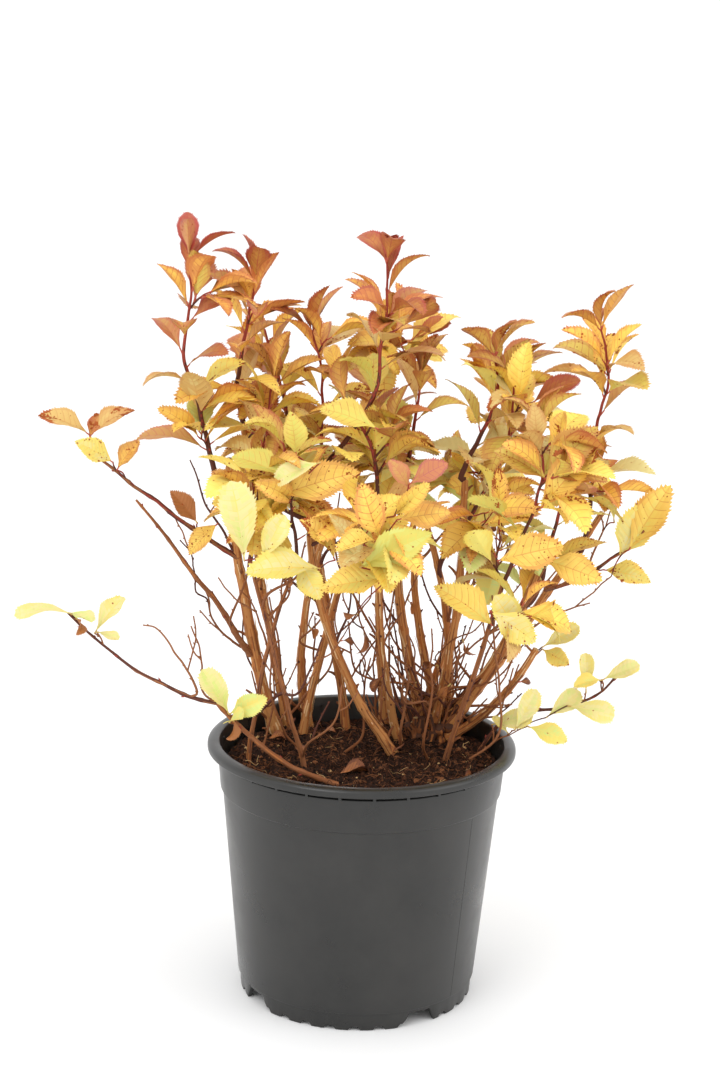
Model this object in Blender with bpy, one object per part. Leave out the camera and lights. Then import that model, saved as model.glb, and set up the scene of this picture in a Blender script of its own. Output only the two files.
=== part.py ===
"""A spirea shrub in autumn leaf, in the round black pot that it was raised in.

The frame is in metres with +Z up. Its origin is the centre of the pot's underside, +X is the
shrub's right as it is looked at from -Y. Sizes below are in millimetres.
"""

import math

import bmesh
import bpy
from mathutils import Vector, noise
from mathutils.bvhtree import BVHTree

MM = 0.001
# Clearance between solids that touch on the real plant
GAP = 0.3

# Pot: a moulded container with a rolled rim, a stacking collar and a notched foot
POT_SIDES = 48
POT_HEIGHT = 152.7
RIM_RADIUS = 90.4
RIM_DEPTH = 5.6
RIM_WIDTH = 7.6
COLLAR_TOP_RADIUS = 84.0
COLLAR_STEP_HEIGHT = 124.6
COLLAR_STEP = 1.2
BODY_TOP_RADIUS = 81.2
BODY_FOOT_RADIUS = 70.2
FOOT_RADIUS = 69.0
FOOT_WALL = 2.4
WALL = 1.8
FLOOR_THICKNESS = 2.2
FLOOR_UNDERSIDE = 9.0
CENTRE_FOOT_RADIUS = 12.0
NOTCH_COUNT = 4
NOTCH_FIRST_SIDE = 4
NOTCH_RISE = 7.5
SCALLOP_EVERY = 2
SCALLOP_RISE = 2.0

# Potting mix, and the woody crown that most of the canes spring from
MIX_TOP = 139.0
CROWN_CENTRE = (44, 44, 147)
CROWN_HALF_SIZE = (16, 15, 21)

# Limbs: sides round each one, ring spacing along it, and the flare of a cane at the mix
LIMB_SIDES = 7
RING_SPACING = 21.0
FLARE = 0.35
FLARE_LENGTH = 9.0
# Height and radius of the ring in a limb's round end, as a share of the limb's radius
CAP_SHARE = 0.71

# Each cane and bough: foot, top, bow at half height, sway of its S bend, and its radius at foot
# and top. It grows from the named solid, or from the mix where none is named.
LIMBS = {
    "cane_left": dict(foot=(-52, 47, 139), top=(-82, 30, 312), bow=(-5, 0, 0), radii=(4.4, 2.4)),
    "cane_left_second": dict(foot=(-45, 58, 139), top=(-75, 48, 330), bow=(-3, 0, 0), radii=(3.4, 2.0)),
    "cane_left_inner": dict(foot=(-33, 66, 139), top=(-24, 70, 262), bow=(-9, 0, 0), radii=(3.2, 2.0)),
    "cane_left_behind": dict(foot=(-36, 48, 139), top=(-6, 76, 262), bow=(-2, -4, 0), radii=(3.0, 1.9)),
    "cane_front_left": dict(foot=(-66, -5, 139), top=(-40, -8, 262), bow=(-4, 3, 0), radii=(1.7, 1.3)),
    "cane_front_left_inner": dict(foot=(-33, -15, 139), top=(-66, -18, 262), bow=(0, -4, 0), radii=(1.7, 1.3)),
    "cane_centre_left": dict(foot=(19, 12, 139), top=(-33, -4, 275), bow=(-11, 2, 0), radii=(3.5, 2.3)),
    "cane_centre_a": dict(foot=(23, 36, 139), top=(7, 22, 262), bow=(-5, 0, 0), radii=(2.9, 2.0)),
    "cane_centre_b": dict(
        grows_from="woody_crown", foot=(36, 52, 152), top=(19, 52, 270), bow=(-5, 2, 0), radii=(3.9, 2.4)
    ),
    "cane_centre_c": dict(
        grows_from="woody_crown", foot=(46, 58, 152), top=(28, 76, 268), bow=(-5, 3, 0), radii=(3.0, 2.0)
    ),
    "cane_centre_d": dict(
        grows_from="woody_crown", foot=(52, 54, 152), top=(36, 56, 268), bow=(6, 8, 0), radii=(3.3, 2.0)
    ),
    "cane_right_a": dict(
        grows_from="woody_crown", foot=(44, 40, 152), top=(57, 44, 300), bow=(4, -7, 0), radii=(3.2, 2.2)
    ),
    "cane_right_b": dict(
        grows_from="woody_crown", foot=(54, 40, 152), top=(103, 14, 262), bow=(4, 2, -5), radii=(4.3, 2.6)
    ),
    "cane_right_stub": dict(
        grows_from="woody_crown", foot=(52, 34, 144), top=(101, 14, 206), bow=(2, -4, -5), radii=(3.0, 2.2)
    ),
    "cane_right_c": dict(
        grows_from="woody_crown", foot=(56, 50, 150), top=(140, 52, 281), bow=(0, 6, -6), radii=(3.7, 2.0)
    ),
    "cane_front_right": dict(foot=(50, 6, 139), top=(77, -27, 255), bow=(0, 0, 0), radii=(2.0, 1.5)),
    "cane_rear_left": dict(foot=(-10, 62, 139), top=(-42, 96, 285), bow=(3, -3, 0), radii=(3.0, 1.9)),
    "cane_rear_middle": dict(foot=(14, 70, 139), top=(8, 108, 285), bow=(-2, -5, 0), radii=(3.2, 2.0)),
    "cane_rear_right": dict(foot=(32, 63, 139), top=(74, 98, 285), bow=(5, -3, 0), radii=(2.8, 1.8)),
    "bough_left_low": dict(foot=(-16, -41, 139), top=(-82, -48, 187), bow=(0, 0, -7), radii=(1.7, 1.4)),
    "bough_left_low_tip": dict(
        grows_from="leaves_left_lime", foot=(-82, -48, 187), top=(-168, -32, 233), bow=(0, 0, -9), radii=(1.6, 1.0)
    ),
    "bough_left_bare": dict(
        grows_from="cane_left", foot=(-68, 40, 190), top=(-134, 10, 290), bow=(4, 0, -2), radii=(2.0, 0.9)
    ),
    "bough_left_middle": dict(
        grows_from="cane_left", foot=(-76, 35, 251), top=(-158, 10, 316), bow=(0, 0, -2), radii=(1.8, 1.3)
    ),
    "bough_right_low": dict(
        foot=(70, 20, 139), top=(150, 2, 198), bow=(-2, -4, 3), sway=(-4, -3, 7), radii=(1.6, 1.0)
    ),
    "bough_right_tip": dict(
        grows_from="cane_right_c", foot=(112, 53, 233), top=(160, 10, 280), bow=(3, 0, -3), radii=(1.7, 1.1)
    ),
}

# Each mass of leaves: its centre, and its half width, half depth and half height
LEAF_MASSES = {
    "leaves_left_plume": ((-98, 10, 410), (31, 28, 43)),
    "leaves_left_shoot": ((-97, 24, 337), (25, 30, 38)),
    "leaves_second_plume": ((-68, 34, 394), (20, 26, 33)),
    "leaves_second_shoot": ((-62, 42, 340), (30, 34, 38)),
    "leaves_centre_left_plume": ((-30, 44, 374), (20, 28, 38)),
    "leaves_centre_plume": ((8, 10, 396), (29, 32, 41)),
    "leaves_centre_shoot": ((1, 15, 331), (39, 40, 38)),
    "leaves_right_inner_plume": ((80, 40, 350), (36, 34, 38)),
    "leaves_right_outer_plume": ((133, 20, 368), (29, 30, 40)),
    "leaves_right_front": ((99, -42, 325), (28, 32, 38)),
    "leaves_right_shoot": ((132, 22, 305), (25, 34, 34)),
    "leaves_right_tip": ((157, 8, 284), (18, 20, 31)),
    "leaves_core_left": ((-52, -28, 300), (38, 40, 44)),
    "leaves_core_centre": ((4, -50, 292), (40, 42, 42)),
    "leaves_core_right": ((66, -10, 282), (36, 42, 44)),
    "leaves_low_right": ((90, -38, 244), (26, 32, 24)),
    "leaves_stub_pair": ((114, 14, 206), (17, 15, 13)),
    "leaves_left_middle": ((-167, 10, 329), (26, 22, 19)),
    "leaves_left_low": ((-168, -32, 236), (28, 21, 13)),
    "leaves_left_lime": ((-76, -50, 187), (17, 16, 16)),
    "leaves_right_low_inner": ((103, -6, 178), (22, 21, 14)),
    "leaves_right_low_outer": ((139, 1, 193), (24, 21, 19)),
    "leaves_rear_left": ((-50, 84, 304), (40, 36, 40)),
    "leaves_rear_middle": ((6, 96, 308), (40, 34, 42)),
    "leaves_rear_right": ((68, 86, 302), (40, 35, 38)),
    "leaves_rear_left_plume": ((-62, 92, 358), (28, 28, 34)),
    "leaves_rear_middle_plume": ((12, 82, 372), (30, 30, 38)),
    "leaves_rear_right_plume": ((82, 98, 344), (28, 28, 32)),
}
# The lumps of a mass, as shares of its size, the coarse ones first
LUMP_SHARE = 0.3
FINE_LUMP_SHARE = 0.2
LUMP_REACH = 1.0 + LUMP_SHARE + FINE_LUMP_SHARE
# Points over a mass, for each millimetre of its mean half size
POINTS_PER_MM = 3.0
GOLDEN_ANGLE = math.pi * (3.0 - math.sqrt(5.0))
# Share of a limb's length, past its foot, before it may meet leaves
CLEAR_SHARE = 0.05


def clear_scene():
    for thing in list(bpy.data.objects):
        bpy.data.objects.remove(thing, do_unlink=True)


def principled(name, colour, roughness):
    material = bpy.data.materials.new(name)
    material.use_nodes = True
    shader = material.node_tree.nodes["Principled BSDF"]
    shader.inputs["Base Color"].default_value = (*colour, 1.0)
    shader.inputs["Roughness"].default_value = roughness
    shader.inputs["Metallic"].default_value = 0.0
    return material


def add_object(name, shape, material, smooth=False):
    """Turns a bmesh in millimetres into a named object in metres."""
    bmesh.ops.scale(shape, vec=(MM, MM, MM), verts=shape.verts)
    bmesh.ops.recalc_face_normals(shape, faces=shape.faces)
    mesh = bpy.data.meshes.new(name)
    shape.to_mesh(mesh)
    shape.free()
    mesh.materials.append(material)
    if smooth:
        mesh.shade_smooth()
        mesh.set_sharp_from_angle(angle=math.radians(35))
    thing = bpy.data.objects.new(name, mesh)
    bpy.context.scene.collection.objects.link(thing)
    return thing


def turned(profile, sides, height_at=None):
    """Revolves a half outline of radii and heights, from axis to axis or closed clear of the axis."""
    shape = bmesh.new()
    rings = []
    for row, (radius, height) in enumerate(profile):
        if radius == 0:
            rings.append([shape.verts.new((0, 0, height))])
            continue
        ring = []
        for side in range(sides):
            turn = 2 * math.pi * side / sides
            lifted = height_at(row, side, height) if height_at else height
            ring.append(shape.verts.new((radius * math.sin(turn), -radius * math.cos(turn), lifted)))
        rings.append(ring)
    if profile[0][0] > 0:
        rings.append(rings[0])
    for low, high in zip(rings, rings[1:]):
        for side in range(sides):
            after = (side + 1) % sides
            corners = [low[side % len(low)], low[after % len(low)], high[after % len(high)], high[side % len(high)]]
            shape.faces.new(list(dict.fromkeys(corners)))
    return shape


def inner_radius(height):
    """Radius of the pot's inside wall, which is straight from its floor to its rim."""
    low = BODY_FOOT_RADIUS - WALL - 0.6
    high = COLLAR_TOP_RADIUS - WALL - 0.4
    floor = FLOOR_UNDERSIDE + FLOOR_THICKNESS
    return low + (high - low) * (height - floor) / (POT_HEIGHT - RIM_DEPTH - floor)


def foot_rise(side):
    """How far the foot's lower edge is notched up at one side of the pot."""
    spacing = POT_SIDES // NOTCH_COUNT
    if (side - NOTCH_FIRST_SIDE) % spacing in (0, 1):
        return NOTCH_RISE
    return SCALLOP_RISE if side % SCALLOP_EVERY else 0.0


def rim_shape():
    """The rolled rim, down to the level where the wall begins."""
    rim_bottom = POT_HEIGHT - RIM_DEPTH
    profile = [
        (inner_radius(rim_bottom), rim_bottom + GAP),
        (RIM_RADIUS - 0.8, rim_bottom + GAP),
        (RIM_RADIUS, rim_bottom + 0.4 * RIM_DEPTH),
        (RIM_RADIUS - 1.2, POT_HEIGHT - 0.9),
        (RIM_RADIUS - 0.45 * RIM_WIDTH, POT_HEIGHT),
        (RIM_RADIUS - 0.9 * RIM_WIDTH, POT_HEIGHT - 1.4),
    ]
    return turned(profile, POT_SIDES)


def wall_shape():
    """The tapered wall with the collar that stacked pots rest on."""
    bottom = FLOOR_UNDERSIDE + FLOOR_THICKNESS + GAP
    rim_bottom = POT_HEIGHT - RIM_DEPTH
    profile = [
        (BODY_FOOT_RADIUS, bottom),
        (BODY_TOP_RADIUS, COLLAR_STEP_HEIGHT - 0.4),
        (BODY_TOP_RADIUS + COLLAR_STEP, COLLAR_STEP_HEIGHT),
        (COLLAR_TOP_RADIUS, rim_bottom),
        (inner_radius(rim_bottom), rim_bottom),
        (inner_radius(bottom), bottom),
    ]
    return turned(profile, POT_SIDES)


def floor_shape():
    """The raised floor, with the flat centre that is level with the foot."""
    floor_top = FLOOR_UNDERSIDE + FLOOR_THICKNESS
    profile = [
        (0, 0),
        (CENTRE_FOOT_RADIUS, 0),
        (CENTRE_FOOT_RADIUS + 2, FLOOR_UNDERSIDE),
        (FOOT_RADIUS + 0.3, FLOOR_UNDERSIDE),
        (FOOT_RADIUS + 0.3, floor_top),
        (0, floor_top),
    ]
    return turned(profile, POT_SIDES)


def foot_shape():
    """The foot ring, notched so that water runs out from under the pot."""
    foot_inside = FOOT_RADIUS - FOOT_WALL
    top = FLOOR_UNDERSIDE - GAP
    profile = [(foot_inside, top), (foot_inside, 0), (FOOT_RADIUS, 0), (FOOT_RADIUS + 0.3, top)]
    foot_edge = (1, 2)

    def lifted(row, side, height):
        return foot_rise(side) if row in foot_edge else height

    return turned(profile, POT_SIDES, lifted)


def mix_shape():
    floor_top = FLOOR_UNDERSIDE + FLOOR_THICKNESS + GAP
    profile = [
        (0, floor_top),
        (inner_radius(floor_top) - GAP, floor_top),
        (inner_radius(MIX_TOP) - GAP, MIX_TOP),
        (0, MIX_TOP),
    ]
    return turned(profile, POT_SIDES)


def even_directions(count):
    """Unit directions spread evenly over a sphere along a golden spiral."""
    for step in range(count):
        height = 1 - 2 * (step + 0.5) / count
        across = math.sqrt(1 - height * height)
        turn = GOLDEN_ANGLE * step
        yield Vector((across * math.cos(turn), across * math.sin(turn), height))


def support(half_size, direction):
    """How far a lumpy ellipsoid may reach along a direction."""
    return LUMP_REACH * math.sqrt(sum((size * part) ** 2 for size, part in zip(half_size, direction)))


def dividing_planes(name, solids):
    """The planes that part one solid from its neighbours, as normal and distance from its centre."""
    centre, half_size = solids[name]
    planes = []
    for other, (other_centre, other_half) in solids.items():
        if other == name:
            continue
        between = Vector(other_centre) - Vector(centre)
        distance = between.length
        normal = between / distance
        own, theirs = support(half_size, normal), support(other_half, normal)
        if own + theirs > distance:
            planes.append((normal, distance * own / (own + theirs) - GAP / 2))
    return planes


def lumpy_reach(direction, half_size, seed):
    smooth = 1 / math.sqrt(sum((part / size) ** 2 for part, size in zip(direction, half_size)))
    offset = Vector((seed * 3.7, seed * 1.9, seed * 5.3))
    lumps = LUMP_SHARE * noise.noise(direction * 1.9 + offset)
    lumps += FINE_LUMP_SHARE * noise.noise(direction * 4.3 - offset)
    return smooth * (1 + lumps)


def lumpy_shape(centre, half_size, planes, seed):
    """A closed uneven solid round a centre, cut flat where a plane parts it from a neighbour."""
    count = round(POINTS_PER_MM * sum(half_size) / 3)
    shape = bmesh.new()
    directions = list(even_directions(count))
    verts = [shape.verts.new(direction) for direction in directions]
    bmesh.ops.convex_hull(shape, input=verts)
    for vert, direction in zip(verts, directions):
        reach = lumpy_reach(direction, half_size, seed)
        for normal, distance in planes:
            facing = direction.dot(normal)
            if facing > 0:
                reach = min(reach, distance / facing)
        vert.co = Vector(centre) + direction * reach
    return shape


def limb_point(limb, share):
    """A point of a limb's centre line, at a share of the way from its foot to its top."""
    straight = Vector(limb["foot"]).lerp(Vector(limb["top"]), share)
    bow = Vector(limb["bow"]) * 4 * share * (1 - share)
    sway = Vector(limb.get("sway", (0, 0, 0))) * math.sin(2 * math.pi * share)
    return straight + bow + sway


def limb_radius(limb, share):
    foot, top = limb["radii"]
    return foot + (top - foot) * share


def touches(tree, point, radius):
    """True where a ball of the limb's radius, with its clearance, reaches the solid."""
    _, _, _, distance = tree.find_nearest(point)
    return distance is not None and distance < radius + GAP


def first_share(start, test):
    """The share from start, found by halving a step, at which a test first comes true."""
    steps = 400
    for step in range(steps + 1):
        share = start + (1 - start) * step / steps
        if test(share):
            low, high = max(start, share - (1 - start) / steps), share
            for _ in range(20):
                middle = (low + high) / 2
                if test(middle):
                    high = middle
                else:
                    low = middle
            return low, high
    return 1.0, 1.0


def limb_span(limb, parent, masses):
    """Where a limb leaves its parent and where it meets its leaves, as shares of its length."""

    def free(share):
        return not touches(parent, limb_point(limb, share), limb_radius(limb, share))

    def arrived(share):
        point, radius = limb_point(limb, share), limb_radius(limb, share)
        return any(touches(tree, point, radius) for tree in masses)

    start = 0.0
    if parent:
        held = [step / 400 for step in range(200) if not free(step / 400)]
        _, start = first_share(max(held), free)
    end, _ = first_share(start + CLEAR_SHARE, arrived)
    return start, end


def limb_stations(limb, start, end, flat_foot):
    """Centre, direction and radius at each ring of a limb, with a round cap's ring at a free end."""
    length = (limb_point(limb, end) - limb_point(limb, start)).length
    count = max(3, round(length / RING_SPACING))
    stations = []
    for ring in range(count + 1):
        share = start + (end - start) * ring / count
        centre = limb_point(limb, share)
        along = (limb_point(limb, share + 0.001) - limb_point(limb, share - 0.001)).normalized()
        radius = limb_radius(limb, share)
        if flat_foot:
            radius *= 1 + FLARE * math.exp(-(centre - limb_point(limb, 0)).length / FLARE_LENGTH)
        stations.append((centre, along, radius))
    cap = CAP_SHARE
    if not flat_foot:
        centre, along, radius = stations[0]
        stations.insert(0, (centre - along * radius * cap, along, radius * cap))
    centre, along, radius = stations[-1]
    stations.append((centre + along * radius * cap, along, radius * cap))
    return stations


def limb_shape(limb, start, end, flat_foot):
    """A tapering tube along a limb, with a flat cut at the mix or a rounded end on its parent."""
    stations = limb_stations(limb, start, end, flat_foot)
    shape = bmesh.new()
    rings = []
    side_way = Vector((1, 0, 0))
    for row, (centre, along, radius) in enumerate(stations):
        side_way = (side_way - along * side_way.dot(along)).normalized()
        other_way = along.cross(side_way)
        circle = []
        for side in range(LIMB_SIDES):
            turn = 2 * math.pi * side / LIMB_SIDES
            point = centre + (side_way * math.cos(turn) + other_way * math.sin(turn)) * radius
            if row == 0 and flat_foot:
                point += along * ((MIX_TOP + GAP - point.z) / along.z)
            circle.append(shape.verts.new(point))
        rings.append(circle)
    for low, high in zip(rings, rings[1:]):
        for side in range(LIMB_SIDES):
            after = (side + 1) % LIMB_SIDES
            shape.faces.new((low[side], low[after], high[after], high[side]))
    cap_rise = (0.98 - CAP_SHARE) / CAP_SHARE
    centre, along, radius = stations[0]
    if flat_foot:
        foot = centre + along * ((MIX_TOP + GAP - centre.z) / along.z)
    else:
        foot = centre - along * radius * cap_rise
    foot_vert = shape.verts.new(foot)
    centre, along, radius = stations[-1]
    tip_vert = shape.verts.new(centre + along * radius * cap_rise)
    for side in range(LIMB_SIDES):
        after = (side + 1) % LIMB_SIDES
        shape.faces.new((rings[0][after], rings[0][side], foot_vert))
        shape.faces.new((rings[-1][side], rings[-1][after], tip_vert))
    return shape


def build_pot():
    plastic = principled("pot_plastic", (0.035, 0.037, 0.036), 0.42)
    for name, shape in (
        ("pot_rim", rim_shape()),
        ("pot_wall", wall_shape()),
        ("pot_floor", floor_shape()),
        ("pot_foot", foot_shape()),
    ):
        add_object(name, shape, plastic, smooth=True)
    mix = principled("potting_mix", (0.045, 0.024, 0.013), 0.95)
    add_object("potting_mix", mix_shape(), mix)


def build_woody_crown(bark):
    centre = Vector(CROWN_CENTRE)
    planes = [(Vector((0, 0, -1)), centre.z - MIX_TOP - GAP)]
    shape = lumpy_shape(centre, CROWN_HALF_SIZE, planes, seed=len(LIMBS))
    tree = BVHTree.FromBMesh(shape)
    add_object("woody_crown", shape, bark)
    return tree


def build_leaf_masses():
    leaf = principled("leaf_mass", (0.62, 0.36, 0.06), 0.6)
    trees = {}
    for seed, (name, (centre, half_size)) in enumerate(LEAF_MASSES.items()):
        shape = lumpy_shape(centre, half_size, dividing_planes(name, LEAF_MASSES), seed)
        trees[name] = BVHTree.FromBMesh(shape)
        add_object(name, shape, leaf)
    return trees


def build_limbs(bark, crown_tree, masses):
    trees = {"woody_crown": crown_tree, **masses}
    for name, limb in LIMBS.items():
        parent = limb.get("grows_from")
        start, end = limb_span(limb, trees.get(parent), masses.values())
        shape = limb_shape(limb, start, end, flat_foot=parent is None)
        trees[name] = BVHTree.FromBMesh(shape)
        add_object(name, shape, bark, smooth=True)


def main():
    clear_scene()
    bark = principled("cane_bark", (0.42, 0.2, 0.075), 0.7)
    build_pot()
    crown_tree = build_woody_crown(bark)
    masses = build_leaf_masses()
    build_limbs(bark, crown_tree, masses)


main()
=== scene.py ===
"""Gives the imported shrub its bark, twigs and autumn leaves, and its pot and mix their finish.

The frame is in metres. The shapes below are worked out in millimetres and scaled as they are made.
"""

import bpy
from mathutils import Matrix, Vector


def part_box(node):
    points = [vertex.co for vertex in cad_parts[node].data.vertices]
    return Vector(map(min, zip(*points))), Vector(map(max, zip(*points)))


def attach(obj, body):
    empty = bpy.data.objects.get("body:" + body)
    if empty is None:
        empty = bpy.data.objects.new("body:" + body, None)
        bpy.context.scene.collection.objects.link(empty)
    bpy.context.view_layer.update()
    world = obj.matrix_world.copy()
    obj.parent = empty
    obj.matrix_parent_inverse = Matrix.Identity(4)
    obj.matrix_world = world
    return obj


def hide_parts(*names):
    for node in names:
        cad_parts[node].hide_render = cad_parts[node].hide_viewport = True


bl_info = {
    "name": "Potted Spirea Shrub",
    "version": (1, 0, 0),
    "blender": (4, 5, 0),
    "location": "View3D > Sidebar > Shrub",
    "description": "Grows bark, twigs and autumn leaves on the packed shrub, and finishes its pot",
    "category": "Object",
}

import math
import random

import bpy
import numpy as np
from mathutils import Matrix, Vector

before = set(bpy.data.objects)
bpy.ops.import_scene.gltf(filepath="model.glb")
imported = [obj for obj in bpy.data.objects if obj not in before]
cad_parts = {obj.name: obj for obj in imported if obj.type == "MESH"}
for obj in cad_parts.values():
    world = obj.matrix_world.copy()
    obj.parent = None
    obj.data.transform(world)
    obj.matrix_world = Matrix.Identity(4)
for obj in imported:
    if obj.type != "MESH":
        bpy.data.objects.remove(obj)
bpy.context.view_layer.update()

MM = 0.001
FULL_TURN = 2 * math.pi
GOLDEN_ANGLE = math.pi * (3.0 - math.sqrt(5.0))
UP = np.array((0.0, 0.0, 1.0))

# The camera that the photo was taken with, in pixels, millimetres and radians
PHOTO_WIDTH = 720
PHOTO_HEIGHT = 1083
FOCAL_PIXELS = 2166.3
CAMERA_PLACE = np.array((-4.2, -1212.0, 555.6))
CAMERA_PITCH = math.radians(13.2)
CAMERA_ROLL = 0.0269
SENSOR_WIDTH = 36.0

# The pot, as the frame has it
MIX_TOP = 139.0
MIX_RADIUS = 79.6

# Each cane and bough as the frame has it: foot, top, bow at half height, radius at foot and top
LIMBS = {
    "cane_left": ((-52, 47, 139), (-82, 30, 312), (-5, 0, 0), (4.4, 2.4)),
    "cane_left_second": ((-45, 58, 139), (-75, 48, 330), (-3, 0, 0), (3.4, 2.0)),
    "cane_left_inner": ((-33, 66, 139), (-24, 70, 262), (-9, 0, 0), (3.2, 2.0)),
    "cane_left_behind": ((-36, 48, 139), (-6, 76, 262), (-2, -4, 0), (3.0, 1.9)),
    "cane_front_left": ((-66, -5, 139), (-40, -8, 262), (-4, 3, 0), (1.7, 1.3)),
    "cane_front_left_inner": ((-33, -15, 139), (-66, -18, 262), (0, -4, 0), (1.7, 1.3)),
    "cane_centre_left": ((19, 12, 139), (-33, -4, 275), (-11, 2, 0), (3.5, 2.3)),
    "cane_centre_a": ((23, 36, 139), (7, 22, 262), (-5, 0, 0), (2.9, 2.0)),
    "cane_centre_b": ((36, 52, 152), (19, 52, 270), (-5, 2, 0), (3.9, 2.4)),
    "cane_centre_c": ((46, 58, 152), (28, 76, 268), (-5, 3, 0), (3.0, 2.0)),
    "cane_centre_d": ((52, 54, 152), (36, 56, 268), (6, 8, 0), (3.3, 2.0)),
    "cane_right_a": ((44, 40, 152), (57, 44, 300), (4, -7, 0), (3.2, 2.2)),
    "cane_right_b": ((54, 40, 152), (103, 14, 262), (4, 2, -5), (4.3, 2.6)),
    "cane_right_stub": ((52, 34, 144), (101, 14, 206), (2, -4, -5), (3.0, 2.2)),
    "cane_right_c": ((56, 50, 150), (140, 52, 281), (0, 6, -6), (3.7, 2.0)),
    "cane_front_right": ((50, 6, 139), (77, -27, 255), (0, 0, 0), (2.0, 1.5)),
    "cane_rear_left": ((-10, 62, 139), (-42, 96, 285), (3, -3, 0), (3.0, 1.9)),
    "cane_rear_middle": ((14, 70, 139), (8, 108, 285), (-2, -5, 0), (3.2, 2.0)),
    "cane_rear_right": ((32, 63, 139), (74, 98, 285), (5, -3, 0), (2.8, 1.8)),
    "bough_left_low": ((-16, -41, 139), (-82, -48, 187), (0, 0, -7), (1.7, 1.2)),
    "bough_left_low_tip": ((-82, -48, 187), (-168, -32, 233), (0, 0, -9), (1.2, 0.6)),
    "bough_left_bare": ((-68, 40, 190), (-134, 10, 290), (4, 0, -2), (2.0, 0.7)),
    "bough_left_middle": ((-76, 35, 251), (-158, 10, 316), (0, 0, -2), (1.6, 0.8)),
    "bough_right_low": ((70, 20, 139), (150, 2, 198), (-2, -4, 3), (1.3, 0.6)),
    "bough_right_tip": ((112, 53, 233), (160, 10, 280), (3, 0, -3), (1.3, 0.7)),
}
# The S bend of the one bough that has it, and the canes whose tops were pruned off
SWAYS = {"bough_right_low": (-4, -3, 7)}
CUT_CANES = ("cane_left", "cane_centre_d", "cane_right_b", "cane_right_stub", "cane_right_c")

# The shoots that lead each plume: the limb each one carries on from, how many leaves it has, the
# share of it below them that is bare, the turn of the first leaf, how much redder its leaves are
# than others at their height, in steps along the lists of tints, and its way up as the photo
# shows it, in pixels across and down and millimetres behind the pot's axis
LEADERS = [
    ("cane_left", 15, 0.3, 0.2, 0.0, [(213, 466, 29), (203, 425, 24), (197, 396, 18),
     (185, 363, 12), (186, 330, 9), (191, 297, 8), (189, 260, 8)]),
    ("cane_left_second", 14, 0.2, 1.3, 0.0, [(237, 386, 35), (242, 356, 34), (247, 325, 34),
     (252, 298, 34), (255, 282, 34)]),
    ("cane_left_inner", 9, 0.25, 2.9, 0.0, [(270, 500, 56), (268, 470, 54), (269, 430, 50),
     (276, 385, 44)]),
    ("cane_left_behind", 13, 0.25, 0.9, -0.3, [(318, 500, 66), (321, 450, 56), (322, 400, 48),
     (321, 365, 44), (312, 332, 42)]),
    ("cane_centre_left", 17, 0.22, 2.2, -1.1, [(316, 483, 6), (327, 464, 8), (348, 437, 9),
     (364, 413, 10), (378, 384, 10), (381, 350, 10), (387, 312, 9), (387, 262, 8)]),
    ("cane_centre_a", 10, 0.2, 1.1, 0.0, [(378, 500, 10), (372, 450, 4), (350, 410, 6),
     (340, 385, 10)]),
    ("cane_centre_b", 10, 0.2, 0.4, -0.3, [(404, 480, 44), (412, 440, 34), (418, 400, 24),
     (420, 376, 20)]),
    ("cane_right_a", 11, 0.2, 2.6, -0.9, [(461, 475, 43), (477, 441, 41), (488, 420, 40),
     (497, 388, 40), (495, 356, 40)]),
    ("cane_centre_d", 9, 0.35, 1.9, -0.8, [(480, 500, 50), (505, 450, 47), (512, 420, 44),
     (514, 378, 40)]),
    ("cane_front_right", 7, 0.12, 0.5, -0.4, [(530, 520, -34), (537, 498, -40), (543, 476, -42),
     (541, 446, -42), (538, 428, -42)]),
    ("cane_right_c", 12, 0.2, 1.6, -1.0, [(594, 470, 38), (597, 426, 26), (601, 411, 22),
     (608, 380, 20), (606, 352, 20), (601, 330, 20)]),
    ("cane_right_b", 10, 0.1, 2.4, -0.8, [(560, 510, 16), (574, 485, 18), (580, 458, 22)]),
]
# Share of those leaves that are left on a leading shoot in autumn
LEAVES_KEPT = 0.86

# The canes at the back and inside, each led up to the top of a mass of leaves
CARRIED_ON = {
    "cane_front_left": "leaves_core_left",
    "cane_front_left_inner": "leaves_second_shoot",
    "cane_centre_c": "leaves_rear_middle",
    "cane_rear_left": "leaves_rear_left_plume",
    "cane_rear_middle": "leaves_rear_middle_plume",
    "cane_rear_right": "leaves_rear_right_plume",
}

# Thin branches that the photo shows, in pixels across and down and millimetres behind the pot's
# axis, with the radius at the foot. Each starts from the nearest stem.
SIDE_BRANCHES = [
    ([(203, 690, -48), (201, 668, -47), (200, 648, -46), (195, 636, -46), (191, 626, -45)], 0.7),
    ([(197, 690, -47), (179, 658, -45), (170, 642, -44), (157, 628, -42), (143, 625, -40)], 0.8),
    ([(231, 545, 32), (222, 528, 30), (205, 505, 28), (197, 480, 26), (190, 460, 24)], 0.9),
    ([(230, 640, 38), (212, 618, 34), (209, 600, 30), (203, 585, 26)], 0.9),
    ([(206, 600, 30), (196, 590, 24), (193, 560, 22), (180, 540, 20)], 0.7),
    ([(524, 640, 14), (544, 618, 10), (566, 611, 6), (590, 603, 0)], 0.8),
    ([(470, 716, 20), (484, 708, 16), (496, 706, 12), (510, 705, 8)], 0.8),
    ([(436, 655, 40), (455, 640, 30), (478, 628, 22), (500, 600, 16)], 0.9),
    ([(590, 560, 40), (598, 545, 34), (604, 528, 30), (600, 512, 30)], 0.8),
    ([(330, 640, 30), (352, 622, 24), (368, 600, 20), (372, 584, 18)], 0.8),
    ([(268, 652, 0), (262, 630, -6), (256, 610, -10), (240, 590, -14)], 0.8),
    ([(300, 640, 50), (318, 622, 44), (330, 600, 40), (334, 575, 38)], 0.8),
]

# Room for each side spray in a mass, in cubic millimetres, by words in the mass's name. The masses
# left out here carry only the leaves that the photo shows.
SPRAY_ROOM = {
    "rear": 42000,
    "core": 52000,
    "shoot": 45000,
    "right_front": 50000,
    "low_right": 55000,
    "plume": 88000,
}

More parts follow.
